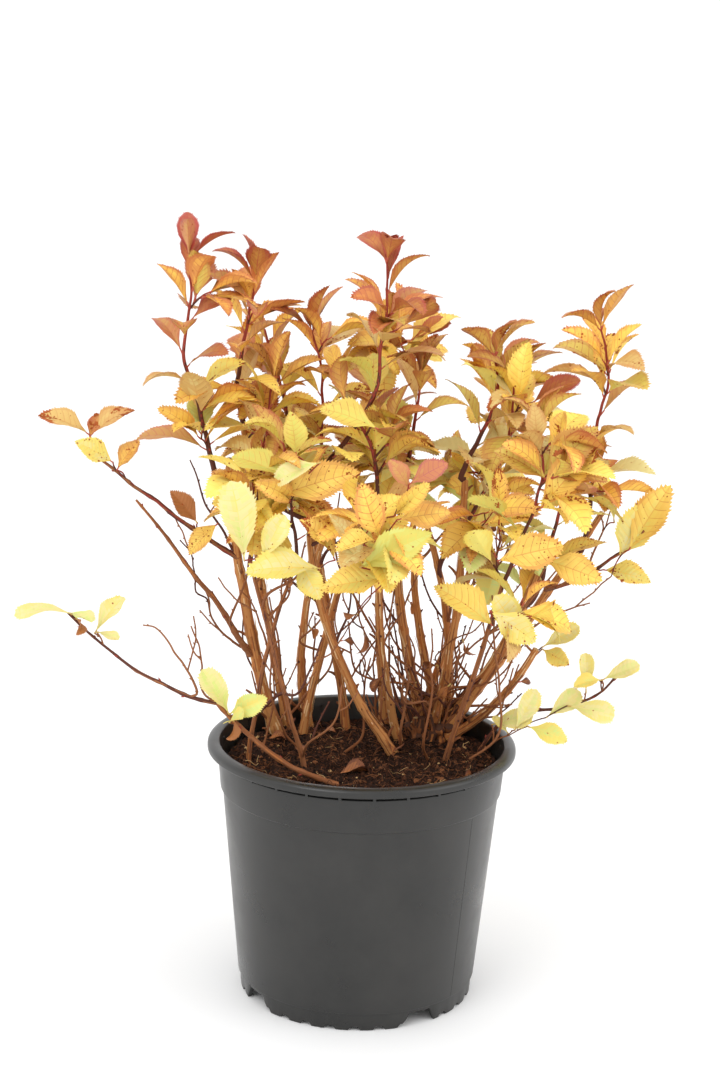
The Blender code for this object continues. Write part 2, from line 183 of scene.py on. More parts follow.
# Leaves that stand out in the photo: foot and tip in pixels and millimetres behind the pot's
# axis, the turn of the blade away from the viewer in degrees, and its tint
STANDING_OUT = [
    ((87, 433, 6), (43, 409, 2), 58, 2.8, "dusky"),
    ((92, 434, 6), (127, 404, 0), 62, 3.7, "dusky"),
    ((90, 436, 4), (98, 413, 8), 35, 5.2, "bronzed"),
    ((111, 461, 2), (78, 441, -8), 15, 2.0, "pale"),
    ((118, 468, 8), (136, 441, 4), 45, 4.2, "clear"),
    ((72, 614, -34), (16, 604, -38), 80, 1.0, "pale"),
    ((70, 613, -32), (90, 618, -50), 75, 0.4, "pale"),
    ((96, 631, -36), (121, 596, -30), 70, 1.2, "pale"),
    ((98, 632, -38), (117, 637, -48), 62, 0.8, "pale"),
    ((228, 712, -50), (206, 672, -56), 10, 0.6, "pale"),
    ((231, 713, -50), (263, 699, -58), -15, 0.4, "clear"),
    ((230, 722, -50), (240, 716, -70), 30, 0.6, "clear"),
    ((196, 521, 20), (173, 491, 16), 20, 0.4, "dead"),
    ((216, 525, 24), (188, 551, 14), 35, 2.8, "clear"),
    ((244, 558, -62), (236, 487, -72), 30, 0.9, "pale"),
    ((262, 560, -60), (281, 518, -66), -48, 1.3, "pale"),
    ((318, 568, -62), (248, 566, -70), 30, 1.6, "pale"),
    ((300, 560, -56), (318, 598, -68), 5, 1.8, "pale"),
    ((537, 443, -46), (535, 404, -48), 5, 3.1, "dusky"),
    ((545, 478, -48), (500, 447, -52), 30, 2.9, "bronzed"),
    ((548, 474, -46), (594, 428, -54), 35, 3.0, "bronzed"),
    ((543, 506, -48), (592, 448, -58), 40, 2.9, "clear"),
    ((386, 578, -66), (322, 586, -72), 35, 1.8, "clear"),
    ((361, 560, -66), (337, 512, -70), -50, 1.4, "dusky"),
    ((362, 566, -68), (428, 532, -74), 25, 0.9, "bronzed"),
    ((334, 558, -60), (308, 516, -64), 55, 2.6, "clear"),
    ((318, 463, -52), (275, 477, -60), 25, 0.7, "pale"),
    ((296, 453, -44), (292, 414, -50), 24, 1.8, "bronzed"),
    ((376, 428, -32), (324, 404, -36), 35, 2.0, "bronzed"),
    ((409, 488, -60), (392, 460, -62), 25, 5.4, "dusky"),
    ((411, 483, -62), (445, 462, -66), 35, 6.6, "dusky"),
    ((400, 519, -62), (448, 511, -68), 30, 3.7, "clear"),
    ((286, 476, -44), (232, 452, -30), 30, 1.4, "bronzed"),
    ((282, 494, -44), (356, 470, -50), 25, 3.1, "clear"),
    ((494, 724, 4), (530, 716, -6), 20, 1.0, "pale"),
    ((508, 733, 0), (494, 716, 4), -20, 1.4, "pale"),
    ((516, 728, -6), (536, 692, -8), 0, 1.0, "pale"),
    ((530, 727, -6), (566, 739, -16), 25, 0.8, "clear"),
    ((548, 716, 0), (580, 692, 4), 15, 0.7, "pale"),
    ((570, 706, 0), (613, 714, -10), 20, 1.0, "pale"),
    ((586, 690, 2), (586, 654, 8), -10, 1.2, "pale"),
    ((604, 679, 2), (637, 664, -4), 35, 0.9, "pale"),
    ((600, 680, 2), (577, 682, -10), 30, 1.2, "clear"),
    ((544, 646, 16), (577, 627, 10), 20, 1.4, "pale"),
    ((544, 650, 14), (567, 663, 0), 15, 1.6, "clear"),
    ((620, 556, 18), (645, 506, 8), 5, 1.8, "pale"),
    ((630, 548, 14), (667, 488, 6), 40, 2.4, "clear"),
    ((606, 570, 26), (649, 577, 12), 45, 2.2, "pale"),
    ((614, 520, 20), (609, 486, 24), -50, 1.2, "pale"),
    ((491, 624, -42), (440, 584, -46), 25, 1.9, "clear"),
    ((492, 612, -44), (535, 641, -54), 15, 1.7, "pale"),
    ((520, 640, -30), (500, 600, -44), 10, 1.4, "pale"),
    ((545, 560, -34), (600, 578, -48), 25, 2.6, "clear"),
    ((500, 560, -40), (560, 545, -50), 20, 2.8, "clear"),
]

# How red the leaves are at each height above the floor, in steps along the lists of tints
TINT_HEIGHTS = (170, 230, 270, 310, 345, 375, 405, 455)
TINT_STEPS = (0.9, 1.7, 2.3, 2.7, 3.3, 4.1, 5.3, 6.7)
TINTS = {
    "clear": ("lime", "lemon", "yellow", "gold", "amber", "bronze", "copper", "coral", "crimson"),
    "bronzed": ("lime", "olive_lime", "olive", "olive_gold", "bronze", "copper", "rust")
    + ("coral", "crimson"),
    "pale": ("lime", "cream", "lemon", "yellow", "gold", "amber", "copper", "coral", "coral"),
    "dusky": ("cream", "cream", "sand", "sand", "buff", "buff", "rose", "rose", "mauve"),
    # The inner list is painted light: brighter copies of the tints for leaves deep in the crown, in
    # place of the light that shines through the leaves round them
    "inner": ("painted_glow_lemon", "painted_glow_lemon", "painted_glow_yellow", "painted_glow_gold", "painted_glow_amber", "painted_glow_copper")
    + ("painted_glow_rust", "painted_glow_rust", "coral"),
    "dead": ("dead_tan", "dead_tan", "dead_brown", "dead_dark", "dead_dark"),
}
# Finishes for each step along a list of tints
TINT_PARTS = 2
# The family that each tint belongs to, which says what piece a leaf is joined into
FAMILIES = {
    "leaf_rust": ("copper", "rust", "coral", "crimson", "rose", "mauve")
    + ("painted_glow_copper", "painted_glow_rust"),
    "leaf_gold": ("amber", "sand", "buff", "olive_gold", "bronze", "painted_glow_amber", "dead_tan")
    + ("dead_brown", "dead_dark"),
    "leaf_yellow": ("yellow", "gold", "olive", "painted_glow_yellow", "painted_glow_gold"),
    "leaf_lime": ("lime", "lemon", "cream", "olive_lime", "painted_glow_lemon"),
}

# Chances that a leaf has turned early or is matt, and that one deep in the crown takes a brighter
# copy of its tint: painted light, standing in for the light that shines through the leaves round it
# and lifting the shade it lies in. The depth is in masses of leaves round it.
TURNED_CHANCE, TURNED_STEPS = 0.1, 1.5
MATT_CHANCE = 0.16
PAINTED_GLOW_DEPTH, PAINTED_GLOW_CHANCE = 1.3, 0.8

# Half width of a leaf at shares of its length, for each kind of leaf
OUTLINES = {
    "broad": [(0, 0.03), (0.08, 0.1), (0.2, 0.4), (0.34, 0.8), (0.48, 0.99), (0.6, 0.97)]
    + [(0.74, 0.76), (0.87, 0.44), (0.95, 0.2), (1, 0.02)],
    "oval": [(0, 0.03), (0.08, 0.14), (0.2, 0.52), (0.33, 0.86), (0.46, 1), (0.6, 0.92)]
    + [(0.74, 0.68), (0.88, 0.34), (0.96, 0.13), (1, 0.02)],
    "blunt": [(0, 0.02), (0.1, 0.12), (0.25, 0.44), (0.4, 0.76), (0.55, 0.95), (0.67, 1)]
    + [(0.79, 0.92), (0.9, 0.66), (0.97, 0.34), (1, 0.05)],
}
# The grid of a leaf: shares of the way from midrib to margin, and the half width of its veins
LEAF_COLUMNS = (-1.0, -0.8, -0.55, -0.28, -0.03, 0.03, 0.28, 0.55, 0.8, 1.0)
VEIN_HALF = 0.0065
BLADE, VEIN = 0, 1
# Corners of a spot on a leaf
SPOT_CORNERS = 6

# Where a leaf's tip may lie, in shares of the nearest mass: turned no more, or left out
SNUG, STRAY = 1.12, 1.45
LEAF_TRIES = 6
SPRAY_TRIES = 14
# Steps along the paths of shoots, and the radius at the tips of shoots and twigs
SHOOT_STEP = 1.8
LEADER_TIP, SPRAY_TIP, TWIG_TIP = 0.55, 0.45, 0.42
# Side sprays below the first height are pale, and above the second one mostly bronzed
PALE_BELOW, BRONZED_ABOVE = 250, 320
# Twigs from the woody crown and from the mix, and how far they may reach
CROWN_TWIGS, MIX_TWIGS = 24, 12
TWIG_CEILING, TWIG_REACH, TWIG_LEFT = 288, 112, -84
DEAD_LEAVES = 26


def srgb(*shown):
    """A colour given as it shows on screen, from 0 to 255, in Blender's own linear values."""
    shares = [part / 255 for part in shown]
    return tuple(
        share / 12.92 if share <= 0.04045 else ((share + 0.055) / 1.055) ** 2.4 for share in shares
    )


def shade(name, description, *shown):
    """A setting for a colour, given as it shows on screen."""
    return bpy.props.FloatVectorProperty(
        name=name,
        description=description,
        subtype="COLOR",
        size=3,
        min=0.0,
        max=1.0,
        default=srgb(*shown),
    )


def number(name, description, default, low=0.0, high=1.0, **more):
    """A setting for a share, a strength or a length."""
    return bpy.props.FloatProperty(
        name=name, description=description, default=default, min=low, max=high, **more
    )


class LeafSettings(bpy.types.PropertyGroup):
    seed: bpy.props.IntProperty(
        name="Seed", description="Picks another crown of the same kind", default=7
    )
    length: number("Leaf length", "Length of a full-grown leaf's blade", 0.0378, unit="LENGTH")
    width_share: number("Leaf width", "Width of a blade as a share of its length", 0.52, 0.2)
    roughness: number("Roughness", "Roughness of the blades", 0.56, subtype="FACTOR")
    lime: shade("Lime", "Lowest and youngest side sprays", 204, 211, 122)
    cream: shade("Cream", "Palest leaves, bleached before they fall", 221, 208, 142)
    lemon: shade("Lemon", "Pale leaves low in the crown", 222, 205, 108)
    yellow: shade("Yellow", "Lower crown", 232, 202, 98)
    gold: shade("Gold", "Middle of the crown", 230, 188, 88)
    amber: shade("Amber", "Middle of the crown, turning", 216, 160, 76)
    olive_lime: shade("Olive lime", "Leaves that are still green at the edge", 206, 198, 96)
    olive: shade("Olive", "Leaves that are still half green", 214, 194, 92)
    olive_gold: shade("Olive gold", "Half green leaves turning gold", 211, 177, 84)
    bronze: shade("Bronze", "Upper crown, turning from green", 198, 147, 74)
    copper: shade("Copper", "Upper crown", 187, 120, 65)
    rust: shade("Rust", "Leaves just below the tips", 173, 99, 58)
    coral: shade("Coral", "Leaves at the tips of the shoots", 176, 93, 66)
    crimson: shade("Crimson", "Margins of the leaves at the tips", 170, 72, 60)
    sand: shade("Sand", "Matt pale leaves of the middle crown", 210, 175, 104)
    buff: shade("Buff", "Matt leaves of the upper crown", 199, 149, 86)
    rose: shade("Rose", "Matt leaves near the tips", 193, 122, 84)
    mauve: shade("Mauve", "Matt leaves at the tips", 178, 99, 88)
    # Painted light: brighter copies of the tints for leaves deep in the crown, lifting the shade
    # they lie in
    painted_glow_lemon: shade("Inner lemon", "Lemon leaves inside the crown", 242, 229, 124)
    painted_glow_yellow: shade("Inner yellow", "Yellow leaves inside the crown", 245, 220, 104)
    painted_glow_gold: shade("Inner gold", "Gold leaves inside the crown", 244, 208, 95)
    painted_glow_amber: shade("Inner amber", "Amber leaves inside the crown", 239, 188, 88)
    painted_glow_copper: shade("Inner copper", "Copper leaves inside the crown", 216, 150, 77)
    painted_glow_rust: shade("Inner rust", "Rust leaves inside the crown", 199, 120, 68)
    dead_tan: shade("Dead tan", "Dry leaves", 170, 108, 60)
    dead_brown: shade("Dead brown", "Dry leaves", 128, 74, 42)
    dead_dark: shade("Dead dark brown", "Dry leaves in shade", 92, 52, 34)
    speck: shade("Specks", "Small spots on the blades", 160, 80, 38)
    blotch: shade("Blotches", "Scorched patches on the blades", 168, 90, 42)


class WoodSettings(bpy.types.PropertyGroup):
    relief: number("Bark relief", "Depth of the bark's ridges, in radii", 0.07, 0.0, 0.4)
    tan: shade("Tan bark", "Main tone of the canes", 190, 131, 76)
    orange: shade("Orange bark", "Fresh bark where the old has peeled", 172, 106, 56)
    brown: shade("Brown bark", "Furrows of the bark", 132, 80, 46)
    dark: shade("Dark bark", "Old wood at the foot of the canes", 76, 46, 32)
    pale: shade("Pale bark", "Loose strips of old bark", 222, 184, 136)
    cut_wood: shade("Cut wood", "Pruned ends", 176, 146, 104)
    shoot_red: shade("Red shoots", "This year's shoots, near their tips", 146, 60, 48)
    shoot_dark: shade("Dark shoots", "This year's shoots, lower down", 92, 52, 40)
    twig: shade("Twigs", "Thin twigs between the canes", 144, 92, 58)
    petiole: shade("Leaf stalks", "Short stalks of the leaves", 180, 84, 60)
    pale_petiole: shade("Pale leaf stalks", "Short stalks of the palest leaves", 196, 164, 92)


class PotSettings(bpy.types.PropertyGroup):
    plastic: shade("Plastic", "The pot's moulded plastic", 26, 26, 25)
    bloom: shade("Bloom", "Dust and scuffs on the plastic", 44, 43, 41)
    plastic_roughness: number("Roughness", "Mean roughness of the plastic", 0.3, subtype="FACTOR")
    sides: bpy.props.IntProperty(
        name="Sides", description="Facets round the pot", default=240, min=48
    )
    mix_dark: shade("Dark mix", "Moist peat", 40, 24, 17)
    mix_brown: shade("Brown mix", "Potting mix", 74, 44, 29)
    mix_light: shade("Light mix", "Dry fibres and bark", 124, 80, 52)
    mix_pale: shade("Pale crumbs", "Wood chips and grit", 196, 160, 112)
    crumbs: bpy.props.IntProperty(
        name="Crumbs", description="Crumbs on the mix", default=5200, min=0
    )
    fibres: bpy.props.IntProperty(
        name="Fibres", description="Fibres on the mix", default=820, min=0
    )


class StageSettings(bpy.types.PropertyGroup):
    floor: shade("Floor", "Plain pale floor", 243, 243, 243)
    sky: number("Sky", "Strength of the white surroundings", 1.26, high=10.0)
    key: number("Key light", "Soft light from the upper left", 11.0, high=100.0, unit="POWER")
    fill: number("Fill light", "Soft light from the right", 6.0, high=100.0, unit="POWER")


SETTINGS = {
    "shrub_leaves": LeafSettings,
    "shrub_wood": WoodSettings,
    "shrub_pot": PotSettings,
    "shrub_stage": StageSettings,
}


def finish(name, colour, roughness, specular=0.5):
    """A plain Principled material of one colour."""
    material = bpy.data.materials.get(name)
    if material:
        return material
    material = bpy.data.materials.new(name)
    material.use_nodes = True
    shader = material.node_tree.nodes["Principled BSDF"]
    shader.inputs["Base Color"].default_value = (*colour, 1.0)
    shader.inputs["Roughness"].default_value = roughness
    shader.inputs["Specular IOR Level"].default_value = specular
    return material


class Pile:
    """Gathers many small shapes, in millimetres, into one mesh with a finish for each face."""

    def __init__(self, finishes):
        self.finishes = finishes
        self.names = [material.name for material in finishes]
        self.points, self.faces, self.slots, self.count = [], [], [], 0

    def slot(self, name):
        """The number of a finish."""
        return self.names.index(name)

    def add(self, points, faces, slots):
        """Adds points and the faces between them. The slots are one number, or one a face."""
        points = np.asarray(points, float).reshape(-1, 3)
        faces = np.asarray(faces, int)
        self.points.append(points)
        self.faces.append(faces + self.count)
        one = np.isscalar(slots)
        self.slots.append(np.full(len(faces), slots) if one else np.asarray(slots, int))
        self.count += len(points)

    def build(self, name, sharp_degrees=None):
        """Makes the mesh, with only those finishes that it uses."""
        points = np.concatenate(self.points) * MM
        faces = [face for group in self.faces for face in group.tolist()]
        slots = np.concatenate(self.slots)
        used = np.unique(slots)
        mesh = bpy.data.meshes.new(name)
        mesh.from_pydata(points.tolist(), [], faces)
        for number in used:
            mesh.materials.append(self.finishes[number])
        mesh.polygons.foreach_set("material_index", np.searchsorted(used, slots).astype(np.int32))
        mesh.shade_smooth()
        if sharp_degrees:
            mesh.set_sharp_from_angle(angle=math.radians(sharp_degrees))
        mesh.update()
        piece = bpy.data.objects.new(name, mesh)
        bpy.context.scene.collection.objects.link(piece)
        return piece


def place(piece, nodes=()):
    """Lets a piece ride on the plant, in place of the frame's own nodes."""
    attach(piece, "root")
    if nodes:
        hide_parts(*nodes)
    return piece


def unit(vector):
    """The same direction, one unit long."""
    return vector / max(np.linalg.norm(vector), 1e-9)


def at_photo(across, down, depth):
    """The point at a pixel of the photo, in the plane so many millimetres behind the pot's axis."""
    x, y = across - PHOTO_WIDTH / 2, down - PHOTO_HEIGHT / 2
    right = x * math.cos(CAMERA_ROLL) + y * math.sin(CAMERA_ROLL)
    below = y * math.cos(CAMERA_ROLL) - x * math.sin(CAMERA_ROLL)
    ahead = FOCAL_PIXELS * math.cos(CAMERA_PITCH) - below * math.sin(CAMERA_PITCH)
    upward = -FOCAL_PIXELS * math.sin(CAMERA_PITCH) - below * math.cos(CAMERA_PITCH)
    ray = np.array((right, ahead, upward))
    return CAMERA_PLACE + ray * (depth - CAMERA_PLACE[1]) / ray[1]


def frames_along(path):
    """The way forward and two ways sideways at each point of a path, with the least turning."""
    forward = np.gradient(path, axis=0)
    forward /= np.maximum(np.linalg.norm(forward, axis=1), 1e-9)[:, None]
    side = np.array((1.0, 0.0, 0.0)) if abs(forward[0][0]) < 0.8 else np.array((0.0, 1.0, 0.0))
    sides = []
    for way in forward:
        side = unit(side - way * side.dot(way))
        sides.append(side)
    sides = np.array(sides)
    return forward, sides, np.cross(forward, sides)


def outward_at(frames, index, turn):
    """The way out from a stem at a point of its path, at a turn round it."""
    _, side, other = frames
    return side[index] * math.cos(turn) + other[index] * math.sin(turn)


def smooth_way(corners, step):
    """A smooth path through a few points, cut into even steps."""
    corners = np.asarray(corners, float)
    padded = np.vstack((2 * corners[0] - corners[1], corners, 2 * corners[-1] - corners[-2]))
    fine = []
    for before, start, end, after in zip(padded, padded[1:], padded[2:], padded[3:]):
        for share in np.linspace(0, 1, 16, endpoint=False):
            rise = (end - before) * share
            bend = (2 * before - 5 * start + 4 * end - after) * share**2
            turn = (3 * start - before - 3 * end + after) * share**3
            fine.append(0.5 * (2 * start + rise + bend + turn))
    fine.append(corners[-1])
    return even_steps(np.array(fine), step)


def even_steps(path, step):
    """The same path, cut into even steps of about the length given."""
    gone = np.concatenate(([0], np.cumsum(np.linalg.norm(np.diff(path, axis=0), axis=1))))
    count = max(3, int(round(gone[-1] / step)) + 1)
    wanted = np.linspace(0, gone[-1], count)
    return np.stack([np.interp(wanted, gone, path[:, axis]) for axis in range(3)], axis=1)


def length_of(path):
    """The length of a path."""
    return float(np.linalg.norm(np.diff(path, axis=0), axis=1).sum())


def kinked(path, chance, spacing, amount):
    """The same path with a slight change of direction at each joint of the stem."""
    joints = max(2, int(length_of(path) / spacing) + 1)
    kinks = [[chance.uniform(-amount, amount) for _ in range(3)] for _ in range(joints + 1)]
    kinks = np.array(kinks)
    kinks[0] = kinks[-1] = 0
    share = np.linspace(0, joints, len(path))
    shift = [np.interp(share, np.arange(joints + 1), kinks[:, axis]) for axis in range(3)]
    return path + np.stack(shift, axis=1)


def quads_between(rows, sides):
    """The faces between the rings of a grid that closes on itself."""
    start = (np.arange(rows - 1)[:, None] * sides + np.arange(sides)[None, :]).ravel()
    after = (np.arange(rows - 1)[:, None] * sides + (np.arange(sides)[None, :] + 1) % sides).ravel()
    return np.stack((start, after, after + sides, start + sides), axis=1)


def add_tube(pile, path, radii, sides, slot, relief=None, quad_slots=None):
    """Adds a closed tube. The relief is a share of the radius for each ring and side."""
    forward, side, other = frames_along(path)
    turn = (FULL_TURN * np.arange(sides) / sides)[None, :, None]
    ring = np.cos(turn) * side[:, None, :] + np.sin(turn) * other[:, None, :]
    reach = np.asarray(radii, float)[:, None] * np.ones((1, sides))
    if relief is not None:
        reach = reach * (1 + relief)
    points = (path[:, None, :] + ring * reach[..., None]).reshape(-1, 3)
    ends = (path[0] - forward[0] * radii[0] * 0.4, path[-1] + forward[-1] * radii[-1] * 0.4)
    around = np.arange(sides)
    beside = (around + 1) % sides
    low, top = len(points), (len(path) - 1) * sides
    foot_cap = np.stack((beside, around, np.full(sides, low)), axis=1)
    tip_cap = np.stack((top + around, top + beside, np.full(sides, low + 1)), axis=1)
    base = pile.count
    quads = quads_between(len(path), sides)
    pile.add(np.vstack((points, *ends)), quads, slot if quad_slots is None else quad_slots)
    pile.faces.append(np.concatenate((foot_cap, tip_cap)) + base)
    pile.slots.append(np.full(2 * sides, slot))


def add_bud(pile, foot, way, length, radii, sides, slot):
    """A short pointed bud."""
    tip = foot + unit(way) * length
    add_tube(pile, np.array((foot, (foot + tip) / 2, tip)), radii, sides, slot)


def streaks(rows, sides, chance, long):
    """Random values from 0 to 1 that change slowly along a stem and quickly round it."""
    coarse = np.array([[chance.random() for _ in range(sides)] for _ in range(rows // long + 3)])
    where = np.arange(rows) / long + chance.random()
    low = where.astype(int)
    part = (where - low)[:, None]
    return coarse[low] * (1 - part) + coarse[low + 1] * part


def limb_path(name, step, sink=0.0):
    """The centre line of a cane or bough, as the frame has it."""
    shares = np.linspace(0, 1, 60)[:, None]
    foot, top, bow = (np.array(spot, float) for spot in LIMBS[name][:3])
    path = foot + (top - foot) * shares + bow * 4 * shares * (1 - shares)
    path += np.array(SWAYS.get(name, (0, 0, 0)), float) * np.sin(FULL_TURN * shares)
    if sink:
        path = np.vstack((path[0] - unit(path[1] - path[0]) * sink, path))
    return even_steps(path, step)


def mass_shape(name):
    """Centre and half sizes of one of the frame's masses of leaves."""
    low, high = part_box(name)
    low, high = np.array(low) / MM, np.array(high) / MM
    return (low + high) / 2, (high - low) / 2


def tint_at(height):
    """How red the leaves are at a height, in steps along the lists of tints."""
    return float(np.interp(height, TINT_HEIGHTS, TINT_STEPS))


def random_angle(chance, low, high):
    """An angle between two given in degrees."""
    return math.radians(chance.uniform(low, high))


class Crown:
    """All that grows, in millimetres: stems with their paths and radii, and leaves."""

    def __init__(self, settings):
        self.chance = random.Random(settings.seed)
        self.leaf_length = settings.length / MM
        self.width_share = settings.width_share
        names = [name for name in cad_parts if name.startswith("leaves_")]
        self.masses = {name: mass_shape(name) for name in names}
        self.stems, self.leaves = [], []
        self.limbs = {}
        self.grow_limbs()
        self.grow_leaders()
        self.grow_sprays()
        self.grow_twigs()
        self.grow_side_branches()
        self.grow_standing_out()
        self.hang_dead_leaves()

    def add_stem(self, path, foot_radius, tip_radius, kind, name=None):
        """Notes a stem that tapers evenly along its path."""
        radii = np.linspace(foot_radius, tip_radius, len(path))
        stem = dict(path=path, radii=radii, kind=kind, name=name)
        self.stems.append(stem)
        return stem

    def grow_limbs(self):
        """The canes and boughs that the frame has, slightly kinked."""
        for name, (foot, *_, radii) in LIMBS.items():
            path = limb_path(name, 1.6, sink=3.0 if foot[2] <= MIX_TOP else 0.0)
            kind, kink = ("cane", 0.55) if name.startswith("cane") else ("bough", 0.8)
            path = kinked(path, self.chance, 17, kink)
            self.limbs[name] = self.add_stem(path, *radii, kind, name)

    def shares_out(self, point):
        """How far a point lies from the middle of each mass of leaves, in shares of its size."""
        return [np.linalg.norm((point - centre) / half) for centre, half in self.masses.values()]

    def depth_in_crown(self, point):
        """How deep in the crown a point lies, in masses of leaves that it lies in or near."""
        return sum(max(0.0, 1.6 - share) for share in self.shares_out(point))

    def add_leaf(self, foot, way, face, length, tint, ladder, **more):
        """Notes a leaf. What isn't given is dealt out by chance."""
        chance = self.chance
        way = unit(way)
        leaf = dict(
            foot=foot,
            way=way,
            face=unit(face - way * face.dot(way)),
            length=length,
            half_width=length * self.width_share / 2 * chance.uniform(0.88, 1.1),
            fold=random_angle(chance, 10, 30),
            arch=random_angle(chance, 10, 45),
            curl=chance.uniform(-0.1, 0.2),
            wave=chance.uniform(0.02, 0.08),
            twist=random_angle(chance, -22, 22),
            tint=tint,
            ladder=ladder,
            specks=0,
            blotches=0,
            pattern=chance.choice(("broad", "broad", "oval")),
            seed=chance.randrange(1 << 30),
        )
        leaf.update(more)
        self.leaves.append(leaf)

    def marks(self, tint, height):
        """How many specks and blotches a leaf has: most in the middle and lower crown."""
        chance = self.chance
        ripe = max(0.0, 1 - abs(tint - 3.2) / 3.6)
        specks = int(chance.triangular(0, 56, 12) * ripe) if chance.random() < 0.85 else 0
        blotches = chance.choice((1, 2, 3)) if chance.random() < 0.4 * ripe and height < 380 else 0
        return specks, blotches

    def leaf_on(self, stem, at, turn, share, size, tint, ladder):
        """One leaf at a share of a stem's length. share is 0 for its lowest leaf, 1 at its tip."""
        chance = self.chance
        index = min(len(stem["path"]) - 1, int(at * (len(stem["path"]) - 1)))
        spot, ahead = stem["path"][index], stem["frames"][0][index]
        best = None
        for attempt in range(LEAF_TRIES):
            swing = 0.35 if attempt == 0 else 1.2
            outward = outward_at(stem["frames"], index, turn + chance.uniform(-swing, swing))
            spread = np.interp(share, (0, 0.6, 1), (64, 46, 20)) + chance.uniform(-11, 11)
            spread = math.radians(spread)
            way = ahead * math.cos(spread) + outward * math.sin(spread)
            way[2] -= 0.06 * (1 - share)
            way = unit(way)
            miss = min(self.shares_out(spot + way * size))
            if best is None or miss < best[0]:
                best = (miss, way, outward)
            if miss < SNUG:
                break
        miss, way, outward = best
        if miss > STRAY:
            return
        rising = ahead * 0.7 + UP * (0.6 - 0.3 * share)
        stalk = chance.uniform(2.0, 4.5) * (1.15 - 0.6 * share)
        start = spot + outward * stem["radii"][index] * 0.7
        foot = start + unit(way + ahead * 0.3) * stalk
        specks, blotches = self.marks(tint, foot[2])
        face = rising + np.cross(way, rising) * chance.gauss(0, 0.22)
        half = size * self.width_share / 2
        self.add_leaf(
            foot,
            way,
            face,
            size * chance.uniform(0.9, 1.08),
            tint,
            ladder,
            half_width=half * chance.uniform(0.9, 1.1) * (1.06 - 0.2 * share),
            fold=math.radians(chance.uniform(12, 34) + 12 * share + 180 * max(0, share - 0.85)),
            arch=math.radians(chance.uniform(24, 66) + 14 * share * chance.random()),
            wave=chance.uniform(0.03, 0.14) * (1.2 - share),
            twist=random_angle(chance, -24, 24),
            curl=chance.uniform(-0.15, 0.25),
            specks=specks,
            blotches=blotches,
            stalk=(start, foot),
        )

    def clothe(self, stem, leaves, bare, turn, ladder, tint_shift=0.0, sizes=(1.0, 0.8)):
        """Sets leaves round a stem in a spiral, smaller, steeper and redder towards its tip."""
        chance = self.chance
        path = stem["path"]
        stem["frames"] = frames_along(path)
        for count in range(leaves):
            share = count / max(1, leaves - 1)
            at = bare + (1 - bare) * share**0.9
            size = self.leaf_length * (sizes[0] + (sizes[1] - sizes[0]) * share)
            size *= chance.uniform(0.86, 1.1)
            spot = path[min(len(path) - 1, int(at * (len(path) - 1)))]
            tint = tint_at(spot[2]) + tint_shift + 1.1 * (share - 0.5) + chance.gauss(0, 0.68)
            if chance.random() < TURNED_CHANCE:
                tint += TURNED_STEPS
            # Deep in the crown, most leaves take the brighter copies of their tints: painted light
            deep = self.depth_in_crown(spot) > PAINTED_GLOW_DEPTH
            own = "inner" if deep and chance.random() < PAINTED_GLOW_CHANCE else ladder
            if chance.random() < MATT_CHANCE:
                own = "dusky"
            self.leaf_on(stem, at, turn + count * GOLDEN_ANGLE, share, size, tint, own)

    def crown_tip(self, stem, ladder, redder):
        """The pair of leaves at the tip of a leading shoot, with a young one between them."""
        chance = self.chance
        _, side, other = stem["frames"]
        turn = math.atan2(other[-1][0], side[-1][0]) + chance.uniform(-0.5, 0.5)
        tint = tint_at(stem["path"][-1][2]) + redder + chance.uniform(0.4, 1.0)
        young = ((0, 0.84, 0.7, 0), (math.pi, 0.78, 0.74, 0.5), (1.6, 0.36, 0.97, 1.4))
        for around, size, share, more in young:
            size *= self.leaf_length
            self.leaf_on(stem, 1.0, turn + around, share, size, tint + more, ladder)

    def grow_leaders(self):
        """The shoots that lead each plume, and those that carry on the canes at the back."""
        chance = self.chance
        for name, leaves, bare, turn, redder, way in LEADERS:
            limb = self.limbs[name]
            spots = [at_photo(*spot) for spot in way]
            start = [limb["path"][-1]]
            if name in CUT_CANES:
                # A bud below the cut has grown on, up past the cane's end
                bud, beside = limb["path"][-24], limb["path"][-15]
                away = unit((spots[0] - beside) * (1, 1, 0))
                start = [bud, beside + away * (limb["radii"][-15] + 1.1)]
            path = kinked(smooth_way(start + spots, SHOOT_STEP), chance, 9, 0.55)
            stem = self.add_stem(path, min(1.9, limb["radii"][-1] * 0.85), LEADER_TIP, "shoot")
            ladder = chance.choice(("clear", "bronzed", "bronzed", "bronzed"))
            self.clothe(stem, round(leaves * LEAVES_KEPT), bare, turn, ladder, redder, (1.0, 0.76))
            self.crown_tip(stem, ladder, redder)
        for name, mass in CARRIED_ON.items():
            limb = self.limbs[name]
            centre, half = self.masses[mass]
            top = centre + half * (chance.uniform(-0.2, 0.2), chance.uniform(-0.2, 0.2), 0.62)
            start = limb["path"][-1]
            middle = (start + top) / 2 + (0, 0, 6)
            path = kinked(smooth_way([start, middle, top], SHOOT_STEP), chance, 9, 0.8)
            stem = self.add_stem(path, limb["radii"][-1] * 0.85, LEADER_TIP, "shoot")
            leaves = max(8, int(length_of(path) / 9.5))
            self.clothe(stem, leaves, 0.18, chance.uniform(0, 6), "bronzed")

    def nearest_fork(self, target):
        """Where a side shoot leaves: the nearest point of a stem, with points below favoured."""
        best = None
        for stem in self.stems:
            points = stem["path"][len(stem["path"]) // 6 :]
            cost = np.linalg.norm(points - target, axis=1)
            cost += 2.2 * np.maximum(0, points[:, 2] - target[2] + 8)
            index = int(np.argmin(cost))
            if best is None or cost[index] < best[0]:
                best = (cost[index], stem, index + len(stem["path"]) // 6)
        return best[1], best[2]

